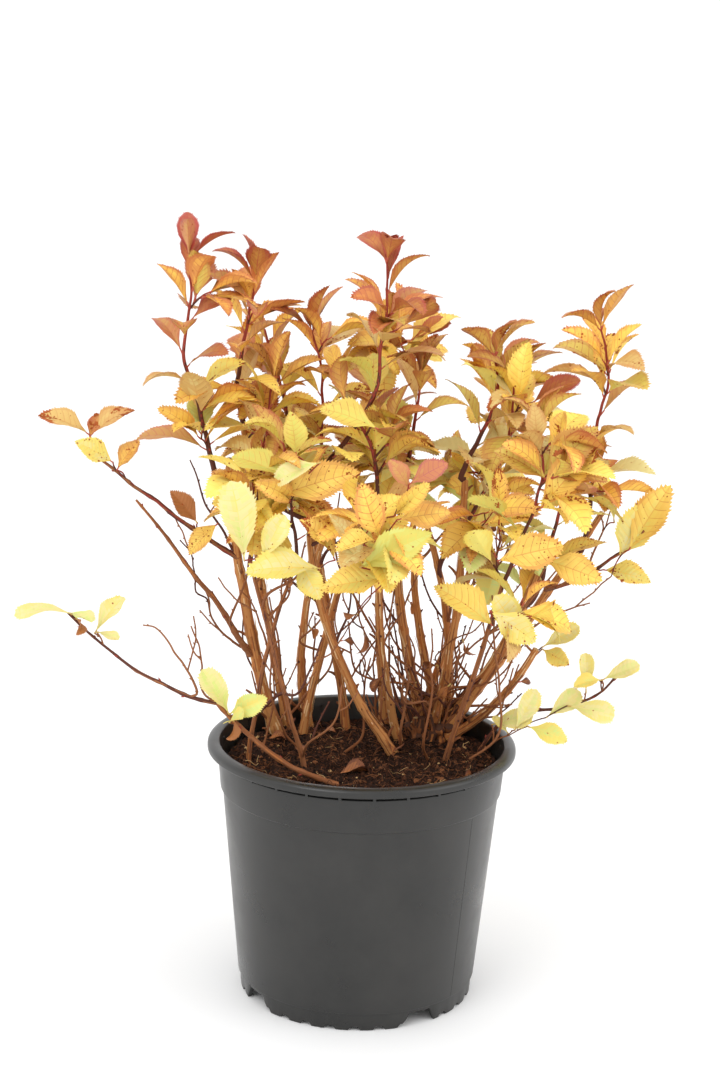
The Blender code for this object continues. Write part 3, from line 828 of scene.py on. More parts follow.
    def open_place(self, centre, reach, taken):
        """The place in a mass that is farthest from what grows there, of a few picked by chance."""
        chance = self.chance
        best = None
        for _ in range(SPRAY_TRIES):
            direction = unit(np.array([chance.gauss(0, 1) for _ in range(3)]))
            target = centre + direction * reach * chance.uniform(0.55, 1.0)
            clear = min((np.linalg.norm(target - other) for other in taken), default=99)
            if best is None or clear > best[0]:
                best = (clear, target)
        return best[1]

    def grow_sprays(self):
        """Fills each mass with side shoots, from the nearest stem to an open place in it."""
        for name, (centre, half) in self.masses.items():
            volume = 4 / 3 * math.pi * float(np.prod(half))
            room = next((size for word, size in SPRAY_ROOM.items() if word in name), None)
            reach = half * np.maximum(0.18, (half - 0.62 * self.leaf_length) / half)
            feet = [leaf["foot"] for leaf in self.leaves]
            taken = [foot for foot in feet if np.linalg.norm((foot - centre) / half) < 1.2]
            for _ in range(round(volume / room) if room else 0):
                target = self.open_place(centre, reach, taken)
                taken.append(target)
                self.grow_spray(centre, target)

    def grow_spray(self, centre, target):
        """One side shoot with its leaves."""
        chance = self.chance
        parent, index = self.nearest_fork(target)
        carrier = parent["path"]
        start = carrier[index]
        gap = np.linalg.norm(target - start)
        if gap < 6:
            target = target + unit(target - centre) * 8 + UP * 6
            gap = np.linalg.norm(target - start)
        ahead = unit(carrier[min(index + 3, len(carrier) - 1)] - carrier[max(index - 3, 0)])
        middle = start + (target - start) * 0.5 + ahead * gap * 0.12 + UP * gap * 0.04
        path = kinked(smooth_way([start, middle, target], SHOOT_STEP), chance, 8, 0.5)
        radius = min(parent["radii"][index] * 0.8, 0.6 + 0.009 * gap)
        stem = self.add_stem(path, radius, SPRAY_TIP, "shoot")
        leaves = chance.choice((3, 3, 4, 4, 5))
        pale = target[2] < PALE_BELOW
        ladder = "pale" if pale else chance.choice(("clear", "clear", "bronzed", "pale"))
        if target[2] > BRONZED_ABOVE:
            ladder = chance.choice(("clear", "bronzed", "bronzed"))
        bare = max(0.1, 1 - leaves * 7 / max(gap, 10))
        turn = chance.uniform(0, 6)
        self.clothe(stem, leaves, bare, turn, ladder, chance.gauss(-0.2, 0.6), (0.95, 0.85))

    def grow_twigs(self):
        """Thin twigs between the canes, which climb, fork and end in the leaves or bare."""
        for name in LIMBS:
            if name.startswith("cane"):
                for _ in range(self.chance.choice((1, 2, 3))):
                    self.add_twig(self.limbs[name]["path"], (0.05, 0.85), 1.0)
            elif name in ("bough_left_bare", "bough_left_middle"):
                for _ in range(2):
                    self.add_twig(self.limbs[name]["path"], (0.1, 0.7), 0.4)
        centre, half = mass_shape("woody_crown")
        for _ in range(CROWN_TWIGS):
            turn = self.chance.uniform(0, FULL_TURN)
            out = (math.cos(turn) * 0.6, math.sin(turn) * 0.6, self.chance.uniform(-0.4, 0.6))
            start = centre + half * out
            self.add_twig([start, start + UP], (0, 1), 1.25)
        for _ in range(MIX_TWIGS):
            turn, radius = self.chance.uniform(0, FULL_TURN), self.chance.uniform(15, 66)
            x, y = math.sin(turn) * radius, abs(math.cos(turn)) * radius * 0.9
            start = np.array((x, y, MIX_TOP - 1.0))
            self.add_twig([start, start + UP], (0, 1), 0.35)

    def add_twig(self, carrier, part, lean):
        """One twig from a stretch of what carries it. The lean says how far it may go sideways."""
        chance = self.chance
        index = int(chance.uniform(*part) * (len(carrier) - 1))
        start = np.array(carrier[index])
        after = np.array(carrier[min(index + 3, len(carrier) - 1)])
        ahead = unit(after - carrier[max(0, index - 1)])
        away = unit(np.array((chance.gauss(0, 1), chance.gauss(0, 0.8), 0)))
        length = min(chance.triangular(22, 125, 55), (TWIG_CEILING - start[2]) * 1.1)
        if length < 16:
            return
        way = unit(away * lean + UP * chance.uniform(0.5, 1.5))
        side = np.cross(way, UP) * chance.uniform(-0.25, 0.25)
        corners = [start, start + (ahead + away * 0.9) * length * 0.2]
        corners.append(start + (way + side) * length * 0.6)
        onward = unit(way + UP * 0.8 + away * chance.uniform(-0.6, 0.4) - side)
        corners.append(corners[-1] + onward * length * 0.42)
        for x, y, z in corners[1:]:
            reach = math.hypot(x, y)
            over_rim = z < 142 or (z < 160 and reach > 76)
            if reach > TWIG_REACH or x < TWIG_LEFT or over_rim:
                return
        path = kinked(smooth_way(corners, 2.0), chance, 13, 1.0)
        twig = self.add_stem(path, chance.uniform(0.65, 1.15), SPRAY_TIP, "twig")
        for _ in range(chance.choice((0, 1, 2, 2, 3))):
            self.fork_twig(twig)

    def grow_side_branches(self):
        """The thin branches that the photo shows on their own."""
        for way, radius in SIDE_BRANCHES:
            corners = [at_photo(*spot) for spot in way]
            parent, index = self.nearest_fork(corners[0])
            path = kinked(smooth_way([parent["path"][index]] + corners, 1.6), self.chance, 9, 0.8)
            twig = self.add_stem(path, min(radius, parent["radii"][index]), TWIG_TIP, "twig")
            self.fork_twig(twig)

    def fork_twig(self, twig):
        """A thinner twig from some way along another."""
        chance = self.chance
        path = twig["path"]
        index = int(chance.uniform(0.3, 0.9) * (len(path) - 1))
        ahead = unit(path[min(index + 2, len(path) - 1)] - path[index - 1])
        away = unit(np.array((chance.gauss(0, 1), chance.gauss(0, 1), chance.gauss(0.3, 0.4))))
        length = chance.uniform(8, 34)
        corners = [path[index], path[index] + unit(ahead + away) * length * 0.5]
        corners.append(corners[-1] + unit(ahead * 1.4 + away * 0.7 + UP * 0.3) * length * 0.5)
        way = kinked(smooth_way(corners, SHOOT_STEP), chance, 7, 0.7)
        self.add_stem(way, max(0.5, twig["radii"][index] * 0.75), TWIG_TIP, "twig")

    def grow_standing_out(self):
        """The leaves that stand out in the photo, each on a short twig from the nearest stem."""
        chance = self.chance
        for foot_spot, tip_spot, degrees, tint, ladder in STANDING_OUT:
            foot, tip = at_photo(*foot_spot), at_photo(*tip_spot)
            way, turn = tip - foot, math.radians(degrees)
            length = np.linalg.norm(way)
            toward = unit(CAMERA_PLACE - foot)
            sideways = unit(np.cross(way, toward))
            face = toward * math.cos(turn) + sideways * 0.15 + UP * abs(math.sin(turn))
            parent, index = self.nearest_fork(foot)
            start = parent["path"][index]
            gap = np.linalg.norm(foot - start)
            if gap > 4:
                middle = (start + foot) / 2 + UP * gap * 0.06
                path = smooth_way([start, middle, foot - unit(way) * 1.5], 1.5)
                path = kinked(path, chance, 8, 0.3)
                kind = "shoot" if foot[2] > 240 else "twig"
                radius = min(1.0, parent["radii"][index] * 0.8, 0.4 + gap * 0.01)
                self.add_stem(path, radius, TWIG_TIP, kind)
                start = path[-1]
            specks, blotches = self.marks(tint, foot[2])
            fresh = tint <= 1.5
            blunt = ladder == "pale" and tint < 1.5
            pattern = "blunt" if blunt else chance.choice(("broad", "oval"))
            self.add_leaf(
                foot,
                way,
                face,
                length * 1.04,
                tint,
                ladder,
                half_width=min(length * (0.26 if blunt else 0.3), 11.5) * chance.uniform(0.9, 1.05),
                pattern=pattern,
                arch=random_angle(chance, 14, 46),
                fold=random_angle(chance, 18, 42),
                wave=chance.uniform(0.07, 0.2),
                twist=math.radians(0.3 * degrees - 8),
                specks=specks // 3 if fresh else specks,
                blotches=0 if fresh else blotches,
                stalk=(start, foot),
            )

    def hang_dead_leaves(self):
        """A few dry, curled leaves caught on the twigs."""
        chance = self.chance
        twigs = [stem for stem in self.stems if stem["kind"] == "twig"]
        for twig in chance.sample(twigs, min(DEAD_LEAVES, len(twigs))):
            path = twig["path"]
            index = int(chance.uniform(0.3, 1.0) * (len(path) - 1))
            x, y, drop = chance.gauss(0, 1), chance.gauss(0, 1), abs(chance.gauss(0.9, 0.5))
            way = unit(np.array((x, y, -drop)))
            foot = path[index] + way * 2.0
            face = np.array((chance.gauss(0, 1), chance.gauss(-0.5, 1), chance.gauss(0.3, 0.6)))
            length = chance.uniform(8, 15)
            if foot[2] < 165:
                continue
            self.add_leaf(
                foot,
                way,
                face,
                length,
                chance.uniform(0, 2.2),
                "dead",
                half_width=length * chance.uniform(0.2, 0.34),
                arch=random_angle(chance, 30, 110),
                fold=random_angle(chance, 15, 55),
                curl=chance.uniform(0.2, 0.9),
                wave=chance.uniform(0.08, 0.2),
                twist=random_angle(chance, -60, 60),
                stalk=(path[index], foot),
            )


# The crowns grown so far, by their settings
GROWN = {}


def crown_of(context):
    """The crown for these settings, grown once."""
    settings = context.scene.shrub_leaves
    key = (settings.seed, settings.length, settings.width_share)
    if key not in GROWN:
        GROWN[key] = Crown(settings)
    return GROWN[key]


def leaf_outline(along, outline):
    """Half width of a leaf, as a share of its widest, at a share of its length."""
    points = smooth_way([(share, width, 0.0) for share, width in outline], 0.01)
    return np.interp(along, points[:, 0], np.maximum(points[:, 1], 0.01))


def leaf_pattern(outline, veins, sweep, tooth):
    """A flat leaf as a grid that follows the side veins, with its margin drawn out into teeth."""
    rows = [(0.0, 0.0, BLADE, 0.0)]
    places = [0.06 + 0.82 * (number / (veins - 1)) ** 0.95 for number in range(veins)]
    for vein, after in zip(places, places[1:] + [1.0]):
        gap = after - vein - 2 * VEIN_HALF
        rows.append((vein - VEIN_HALF, 0.0, VEIN, 1.0))
        rows.append((vein + VEIN_HALF, 0.0, BLADE, -0.35))
        rows.append((vein + VEIN_HALF + gap * 0.45, 1.0, BLADE, 0.75))
        rows.append((vein + VEIN_HALF + gap * 0.55, 1.0, BLADE, -0.35))
    rows.append((1.0, 0.0, BLADE, 0.0))
    start = np.array([row[0] for row in rows])[:, None]
    across = np.array(LEAF_COLUMNS)[None, :]
    slant = sweep * np.minimum(1, start / 0.14)
    along = start + (1 - start) * slant * np.abs(across) ** 1.15
    sideways = across * leaf_outline(along, outline)
    teeth = np.array([row[3] for row in rows]) * np.clip((along[:, 0] - 0.16) / 0.15, 0, 1)
    teeth *= 1 + 0.35 * np.sin(np.arange(len(rows)) * 2.3 + veins)
    for column, side in ((0, -1), (-1, 1)):
        sideways[:, column] += side * teeth * tooth
        along[:, column] += np.maximum(teeth, 0) * tooth * 0.22
    puff = np.array([row[1] for row in rows])[:, None] * np.sin(math.pi * np.abs(across))
    columns = len(LEAF_COLUMNS)
    quads, kinds, centres = [], [], []
    for row in range(len(rows) - 1):
        for column in range(columns - 1):
            first = row * columns + column
            quads.append((first, first + 1, first + columns + 1, first + columns))
            middle = (LEAF_COLUMNS[column] + LEAF_COLUMNS[column + 1]) / 2
            is_vein = abs(middle) < 0.02 or (rows[row][2] == VEIN and abs(middle) < 0.85)
            kinds.append(VEIN if is_vein else BLADE)
            centres.append((float(along[row : row + 2, column : column + 2].mean()), middle))
    return dict(
        along=along.ravel(),
        sideways=sideways.ravel(),
        puff=puff.ravel(),
        quads=np.array(quads),
        kinds=np.array(kinds),
        centres=np.array(centres),
    )


def shape_leaf(pattern, leaf):
    """Bends, folds and waves a flat leaf, and sets it in its place."""
    chance = random.Random(leaf["seed"])
    along, sideways = pattern["along"], pattern["sideways"]
    fine = np.linspace(0, 1.08, 55)
    bend = leaf["arch"] * fine**2.1
    step = fine[1] * leaf["length"]
    forward = np.concatenate(([0], np.cumsum(np.cos(bend[:-1]) * step)))
    drop = np.concatenate(([0], np.cumsum(np.sin(bend[:-1]) * step)))
    here = np.interp(along, fine, bend)
    ahead = np.interp(along, fine, forward)
    down = np.interp(along, fine, drop)
    across = sideways * leaf["half_width"]
    fold = leaf["fold"] * (1.05 - 0.65 * along)
    phase = chance.uniform(0, 6.28)
    ripple = along * chance.uniform(5, 11) + phase + (sideways > 0) * chance.uniform(0, 3.14)
    ripple = np.sin(ripple)
    lift = np.abs(across) * np.sin(fold) + leaf["curl"] * across**2 / (2 * leaf["half_width"])
    lift += leaf["wave"] * leaf["half_width"] * np.abs(sideways) ** 1.4 * ripple
    lift += 0.42 * pattern["puff"] * leaf["length"] / 34
    wide = across * np.cos(fold)
    turn = leaf["twist"] * along**1.3
    cosine, sine = np.cos(turn), np.sin(turn)
    wide, lift = wide * cosine - lift * sine, wide * sine + lift * cosine
    ahead = ahead + lift * np.sin(here)
    rise = lift * np.cos(here) - down
    way, face = leaf["way"], leaf["face"]
    sideway = np.cross(way, face)
    return leaf["foot"] + ahead[:, None] * way + rise[:, None] * face + wide[:, None] * sideway


def tint_slots(pattern, leaf, pile):
    """The finish of each face of a leaf, which reddens to margin, tip and veins."""
    chance = random.Random(leaf["seed"] + 1)
    last = len(TINTS[leaf["ladder"]]) - 1
    along, side = pattern["centres"][:, 0], pattern["centres"][:, 1]
    across = np.abs(side)
    drift = along * chance.uniform(4, 9) + side * chance.uniform(2, 5) + chance.uniform(0, 6)
    fine = along * chance.uniform(9, 16) - side * chance.uniform(3, 8) + chance.uniform(0, 6)
    drift = np.sin(drift) + 0.6 * np.sin(fine)
    redder = np.interp(leaf["tint"], (0.5, 2.0, 5.0), (0.15, 0.7, 1.3))
    step = leaf["tint"] + redder * (1.9 * across**2.6 + 0.7 * along - 0.8) + 0.36 * drift
    step = step + (pattern["kinds"] == VEIN) * (0.6 if leaf["tint"] < 1.4 else 1.7)
    step = np.clip(np.rint(step * TINT_PARTS), 0, last * TINT_PARTS).astype(int)
    slots = pile.slot(f"leaf_{leaf['ladder']}_00") + step
    if leaf["blotches"] > 2:
        slots[along + 0.22 * across + 0.09 * drift > 0.98] = pile.slot("leaf_blotch")
    return slots


def add_leaf_mesh(pile, patterns, leaf):
    """Adds one leaf and its spots."""
    pattern = patterns[leaf["pattern"]]
    points = shape_leaf(pattern, leaf)
    pile.add(points, pattern["quads"], tint_slots(pattern, leaf, pile))
    add_specks(pile, points, pattern["quads"], leaf)


def add_specks(pile, points, quads, leaf):
    """Small flat spots on both sides of a blade, alone or crowded into scorched patches."""
    chance = random.Random(leaf["seed"] + 2)
    spots = []
    for _ in range(leaf["specks"]):
        spots.append((chance.randrange(len(quads)), 0.22 + 0.5 * chance.random() ** 2.5, "speck"))
    columns = len(LEAF_COLUMNS) - 1
    for _ in range(leaf["blotches"]):
        heart = chance.randrange(len(quads))
        for _ in range(chance.randrange(12, 32)):
            face = heart + round(chance.gauss(0, 1.6)) * columns + round(chance.gauss(0, 0.8))
            if 0 <= face < len(quads) and abs(face % columns - heart % columns) < 3:
                radius = 0.3 + 0.8 * chance.random() ** 2
                spots.append((face, radius, chance.choice(("speck", "blotch", "blotch"))))
    for face, radius, name in spots:
        a, b, c, d = (points[index] for index in quads[face])
        u, v = chance.random(), chance.random()
        centre = (a * (1 - u) + b * u) * (1 - v) + (d * (1 - u) + c * u) * v
        normal = np.cross(c - a, d - b)
        if np.linalg.norm(normal) < 0.1:
            continue
        normal = unit(normal)
        first = unit(b - a)
        second = np.cross(normal, first)
        reach = [radius * chance.uniform(0.7, 1.25) for _ in range(SPOT_CORNERS)]
        lift = 0.08 + 0.05 * chance.random()
        for side in (1, -1):
            ring = []
            for turn, out in zip(np.arange(SPOT_CORNERS) * math.pi / 3, reach):
                outward = first * math.cos(side * turn) + second * math.sin(side * turn)
                outward = outward * out * (0.8 if turn > 3 else 1)
                ring.append(centre + outward + normal * lift * side)
            pile.add(ring, [list(range(SPOT_CORNERS))], pile.slot("leaf_" + name))


def leaf_patterns():
    """A flat leaf of each kind."""
    return {
        "broad": leaf_pattern(OUTLINES["broad"], veins=7, sweep=0.3, tooth=0.105),
        "oval": leaf_pattern(OUTLINES["oval"], veins=8, sweep=0.34, tooth=0.1),
        "blunt": leaf_pattern(OUTLINES["blunt"], veins=7, sweep=0.26, tooth=0.1),
    }


def leaf_finishes(settings):
    """A finish for each step along each list of tints, and for the spots."""
    made = []
    for ladder, names in TINTS.items():
        colours = np.array([getattr(settings, name)[:] for name in names])
        for number in range((len(names) - 1) * TINT_PARTS + 1):
            low, part = divmod(number, TINT_PARTS)
            high = min(low + 1, len(names) - 1)
            colour = colours[low] + (colours[high] - colours[low]) * part / TINT_PARTS
            name = f"leaf_{ladder}_{number:02d}"
            made.append(finish(name, tuple(colour), settings.roughness, 0.35))
    for name in ("speck", "blotch"):
        made.append(finish("leaf_" + name, getattr(settings, name), 0.8, 0.2))
    return made


def polar(radius, turn, height):
    """A point round the pot's axis. The turn is 0 at the front and grows to the right."""
    return np.stack((radius * np.sin(turn), -radius * np.cos(turn), height + 0 * turn), axis=-1)


def turned(profile, sides, edge=None):
    """Points and faces of a profile of radii and heights, turned about the pot's axis.

    The edge, if given, lifts the points that lie on the ground."""
    turn = FULL_TURN * np.arange(sides) / sides
    rows = []
    for radius, height in profile:
        lift = edge(turn) if edge and height < 1.0 and radius > 60 else 0
        rows.append(polar(radius, turn, np.full(sides, float(height)) + lift))
    return np.concatenate(rows), quads_between(len(rows), sides)


def rounded(corners):
    """A profile with each corner that has a radius given replaced by an arc."""
    profile = []
    for number, (radius, height, curve) in enumerate(corners):
        here = np.array((radius, height), float)
        if not curve or number in (0, len(corners) - 1):
            profile.append(tuple(here))
            continue
        before = np.array(corners[number - 1][:2], float)
        after = np.array(corners[number + 1][:2], float)
        start = here + (before - here) * min(1, curve / np.linalg.norm(before - here))
        end = here + (after - here) * min(1, curve / np.linalg.norm(after - here))
        for share in (0, 0.25, 0.5, 0.75, 1):
            spot = start * (1 - share) ** 2 + here * 2 * share * (1 - share) + end * share**2
            profile.append(tuple(spot))
    return profile


class SHRUB_OT_pot(bpy.types.Operator):
    """Makes the moulded pot with its rolled rim, ribs, collar, seams and notched foot"""

    bl_idname = "shrub.pot"
    bl_label = "Pot"

    # Turn of the first of the foot's four large notches, in degrees, and spacing of the small ones
    NOTCH_TURN = 33.0
    SCALLOP_SPACING = 12.0
    # Ribs between collar and rim, with their half width in degrees, and the turns of the seams
    RIB_COUNT = 28
    RIB_HALF = 0.55
    SEAM_TURNS = (52.0, -128.0)
    # The wall's straight part, which the seams run up: radius and height at its foot and its top
    WALL_FOOT = (70.6, 10.6)
    WALL_TOP = (81.2, 124.0)
    # Radius, height and rounding of the corners up the outside and over the rim
    OUTSIDE = [
        (66.6, 0.0, 0),
        (68.9, 0.0, 0.5),
        (69.4, 10.2, 0.3),
        (*WALL_FOOT, 0.3),
        (*WALL_TOP, 0.3),
        (82.5, 124.6, 0.5),
        (84.3, 144.4, 0.6),
        (82.8, 145.0, 0.3),
        (83.0, 147.6, 0.3),
        (89.0, 147.3, 0.4),
        (90.4, 147.6, 0.7),
        (90.4, 151.2, 1.6),
        (87.6, 152.8, 1.6),
        (83.4, 152.2, 1.3),
        (82.4, 147.4, 0.8),
        (79.9, 128.0, 0),
    ]
    UNDERSIDE = [(66.6, 0.0), (66.4, 9.0), (12.0, 9.0), (11.6, 0.0), (0.02, 0.0)]

    def foot_edge(self, turn):
        """How far the foot's edge is cut up, round the pot."""
        degrees = np.degrees(turn)
        notch = np.abs((degrees - self.NOTCH_TURN + 45) % 90 - 45)
        spacing = self.SCALLOP_SPACING
        scallop = np.abs((degrees + spacing / 2) % spacing - spacing / 2)
        rise = 2.1 * np.clip((2.6 - scallop) / 0.9, 0, 1)
        return np.maximum(rise, 7.8 * np.clip((8.4 - notch) / 1.8, 0, 1))

    def execute(self, context):
        settings = context.scene.shrub_pot
        pile = Pile([self.plastic(settings)])
        points, quads = turned(rounded(self.OUTSIDE), settings.sides, self.foot_edge)
        pile.add(points, quads, 0)
        points, quads = turned(self.UNDERSIDE, settings.sides, self.foot_edge)
        pile.add(points, quads[:, ::-1], 0)
        self.add_ribs(pile)
        self.add_seams(pile)
        piece = pile.build("pot_shell", sharp_degrees=32)
        place(piece, ["pot_rim", "pot_wall", "pot_floor", "pot_foot"])
        return {"FINISHED"}

    def plastic(self, settings):
        """Satin plastic with a dusty bloom, rougher where hands and mix have scuffed it."""
        material = finish("pot_plastic_satin", settings.plastic, settings.plastic_roughness, 0.5)
        nodes, links = material.node_tree.nodes, material.node_tree.links
        shader = nodes["Principled BSDF"]
        spot = nodes.new("ShaderNodeTexCoord")

        def grain(scale, detail):
            noise = nodes.new("ShaderNodeTexNoise")
            noise.inputs["Scale"].default_value = scale
            noise.inputs["Detail"].default_value = detail
            noise.inputs["Roughness"].default_value = 0.62
            links.new(spot.outputs["Object"], noise.inputs["Vector"])
            return noise.outputs["Fac"]

        amount = nodes.new("ShaderNodeMapRange")
        amount.inputs["From Min"].default_value = 0.32
        amount.inputs["From Max"].default_value = 0.72
        links.new(grain(19.0, 9.0), amount.inputs["Value"])
        colour = nodes.new("ShaderNodeMix")
        colour.data_type = "RGBA"
        colour.inputs["A"].default_value = (*settings.plastic, 1.0)
        colour.inputs["B"].default_value = (*settings.bloom, 1.0)
        links.new(amount.outputs["Result"], colour.inputs["Factor"])
        links.new(colour.outputs["Result"], shader.inputs["Base Color"])
        rough = nodes.new("ShaderNodeMapRange")
        rough.inputs["To Min"].default_value = settings.plastic_roughness - 0.07
        rough.inputs["To Max"].default_value = settings.plastic_roughness + 0.16
        links.new(amount.outputs["Result"], rough.inputs["Value"])
        links.new(rough.outputs["Result"], shader.inputs["Roughness"])
        return material

    def add_ribs(self, pile):
        """Short upright ribs in the gap between collar and rim."""
        half = math.radians(self.RIB_HALF)
        around = ((82.0, -half), (85.4, -half), (85.4, half), (82.0, half))
        faces = [(0, 1, 2, 3), (7, 6, 5, 4), (0, 4, 5, 1), (1, 5, 6, 2), (2, 6, 7, 3), (3, 7, 4, 0)]
        for rib in range(self.RIB_COUNT):
            middle = FULL_TURN * (rib + 0.4) / self.RIB_COUNT
            corners = [
                polar(np.array(radius), np.array(middle + turn), np.array(height))
                for height in (144.2, 147.8)
                for radius, turn in around
            ]
            pile.add(corners, faces, 0)

    def add_seams(self, pile):
        """Fine raised lines where the halves of the mould met."""
        (foot, low), (top, high) = self.WALL_FOOT, self.WALL_TOP
        heights = np.linspace(11.5, 123.0, 60)
        radii = foot + (top - foot) * (heights - low) / (high - low)
        for degrees in self.SEAM_TURNS:
            path = polar(radii - 0.05, np.full(60, math.radians(degrees)), heights)
            add_tube(pile, path, np.full(60, 0.17), 6, 0)


class SHRUB_OT_potting_mix(bpy.types.Operator):
    """Makes the mix: a rough surface with crumbs, bark, fibres and fallen leaves"""

    bl_idname = "shrub.potting_mix"
    bl_label = "Potting mix"

    # Rings and sides of the surface, and the outline of the plug under it as radius and height
    RINGS, SIDES = 96, 320
    PLUG = ((79.6, 134.0), (68.0, 12.0), (0.02, 12.0))
    # The eight corners of a cube
    CORNERS = [(x, y, z) for x in (-1, 1) for y in (-1, 1) for z in (-1, 1)]
    # Fallen leaves: place on the mix, length, and turn in radians
    FALLEN = [
        (-12, -24, 19, 0.3),
        (18, 2, 17, 1.3),
        (-34, 8, 12, 2.2),
        (60, -26, 10, 0.9),
        (-56, 30, 12, 0.3),
        (20, 62, 14, 1.9),
        (-16, 44, 11, 2.5),
        (30, -52, 9, 0.7),
    ]

    def height(self, x, y):
        """Height of the mix: rough, and heaped up round the woody crown and the left-hand canes."""
        total = MIX_TOP - 0.8 + 3.4 * np.exp(-((x - 44) ** 2 + (y - 44) ** 2) / 900)
        total = total + 1.4 * np.exp(-((x + 50) ** 2 + (y - 50) ** 2) / 700)
        for across, along, phase, size in self.waves:
            total = total + size * np.sin(x * across + y * along + phase)
        return total

    def any_place(self, margin):
        """A place on the mix, clear of its edge."""
        radius = (MIX_RADIUS - margin) * math.sqrt(self.chance.random())
        turn = self.chance.uniform(0, FULL_TURN)
        return radius * math.sin(turn), -radius * math.cos(turn)

    def execute(self, context):
        settings = context.scene.shrub_pot
        self.chance = chance = random.Random(11)
        names = ("mix_dark", "mix_brown", "mix_light", "mix_pale")
        self.finishes = [finish(name, getattr(settings, name), 0.95, 0.2) for name in names]
        self.waves = [
            (chance.gauss(0, pitch), chance.gauss(0, pitch), chance.uniform(0, 6), size)
            for pitch, size in [(0.12, 0.5)] * 6 + [(0.5, 0.3)] * 9
        ]
        self.lay_surface()
        self.scatter_crumbs(settings.crumbs)
        self.scatter_fibres(settings.fibres)
        self.drop_leaves(context)
        return {"FINISHED"}

    def lay_surface(self):
        """The rough top of the mix, and the plug's sides and underside in the pot."""
        chance = self.chance
        pile = Pile(self.finishes)
        turn = FULL_TURN * np.arange(self.SIDES) / self.SIDES
        rows = []
        for ring in range(self.RINGS):
            radius = MIX_RADIUS * (ring + 0.3) / (self.RINGS - 1 + 0.3)
            x, y = radius * np.sin(turn), -radius * np.cos(turn)
            grain = np.array([chance.gauss(0, 0.42) for _ in turn])
            rows.append(np.stack((x, y, self.height(x, y) + grain), axis=-1))
        rows += [polar(radius, turn, np.full(self.SIDES, height)) for radius, height in self.PLUG]
        quads = quads_between(len(rows), self.SIDES)[:, [0, 3, 2, 1]]
        slots = [chance.choices((0, 1, 2), (0.7, 0.28, 0.02))[0] for _ in quads]
        pile.add(np.concatenate(rows), quads, slots)
        pile.add(rows[0], [list(range(self.SIDES))], 1)
        place(pile.build("mix_surface"), ["potting_mix"])

    def scatter_crumbs(self, count):
        """Crumbs over the whole surface."""
        chance = self.chance
        pile = Pile(self.finishes)
        for _ in range(count):
            x, y = self.any_place(2.5)
            size = 0.32 + 1.5 * chance.random() ** 5
            centre = np.array((x, y, self.height(x, y) + size * 0.3))
            spans = ((0.6, 1.5), (0.6, 1.5), (0.4, 1.0))
            stretch = [chance.uniform(low, high) for low, high in spans]
            slot = chance.choices((0, 1, 2, 3), (7, 4, 1.3, 0.3))[0]
            self.add_lump(pile, centre, size * np.array(stretch), slot)
        place(pile.build("mix_crumbs", sharp_degrees=30))

    def scatter_fibres(self, count):
        """Bent fibres over the whole surface."""
        chance = self.chance
        pile = Pile(self.finishes)
        for _ in range(count):
            x, y = self.any_place(6)
            way, length = chance.uniform(0, FULL_TURN), chance.uniform(2.5, 11)
            corners = []
            for share in (-0.5, -0.15, 0.2, 0.5):
                px = x + math.cos(way) * length * share + chance.gauss(0, 0.6)
                py = y + math.sin(way) * length * share + chance.gauss(0, 0.6)
                reach, limit = math.hypot(px, py), MIX_RADIUS - 2
                if reach > limit:
                    px, py = px * limit / reach, py * limit / reach
                corners.append((px, py, self.height(px, py) + 0.7 + abs(chance.gauss(0, 1.1))))
            path = smooth_way(corners, 1.4)
            radii = np.full(len(path), chance.uniform(0.09, 0.24))
            add_tube(pile, path, radii, 5, chance.choices((0, 1, 2, 3), (2, 4, 3, 0.4))[0])
        place(pile.build("mix_fibres"))

    def add_lump(self, pile, centre, size, slot):
        """An uneven crumb with 14 corners."""
        ends = [(1, 0, 0), (-1, 0, 0), (0, 1, 0), (0, -1, 0), (0, 0, 1), (0, 0, -1)]
        corners = [unit(np.array(corner, float)) for corner in ends + self.CORNERS]
        points = [centre + corner * size * self.chance.uniform(0.7, 1.15) for corner in corners]
        faces = []
        for corner, (x, y, z) in enumerate(self.CORNERS, len(ends)):
            around = [0 if x > 0 else 1, 2 if y > 0 else 3, 4 if z > 0 else 5]
            if x * y * z < 0:
                around.reverse()
            for first, second in zip(around, around[1:] + around[:1]):
                faces.append((corner, first, second))
        pile.add(points, faces, slot)

    def drop_leaves(self, context):
        """Dead leaves that lie on the mix."""
        chance = self.chance
        pile = Pile(leaf_finishes(context.scene.shrub_leaves))
        patterns = leaf_patterns()
        for x, y, length, turn in self.FALLEN:
            ground = self.height(x, y)
            way = unit(np.array((math.cos(turn), math.sin(turn), 0.1)))
            face = np.array((0.1, -0.25, 1.0))
            leaf = dict(
                foot=np.array((x, y, ground + 2.6)),
                way=way,
                face=unit(face - way * face.dot(way)),
                length=length,
                half_width=length * 0.3,
                fold=random_angle(chance, 10, 40),
                arch=random_angle(chance, -70, 80),
                curl=chance.uniform(0.3, 1.2),
                wave=chance.uniform(0.15, 0.35),
                twist=random_angle(chance, -30, 30),
                tint=chance.uniform(0.2, 2.2),
                ladder="dead",
                pattern="oval",
                blotches=0,
                specks=0,
                seed=chance.randrange(1 << 30),
            )
            low = shape_leaf(patterns["oval"], leaf)[:, 2].min()
            leaf["foot"][2] -= low - ground - 0.4
            add_leaf_mesh(pile, patterns, leaf)
        place(pile.build("fallen_leaves"))


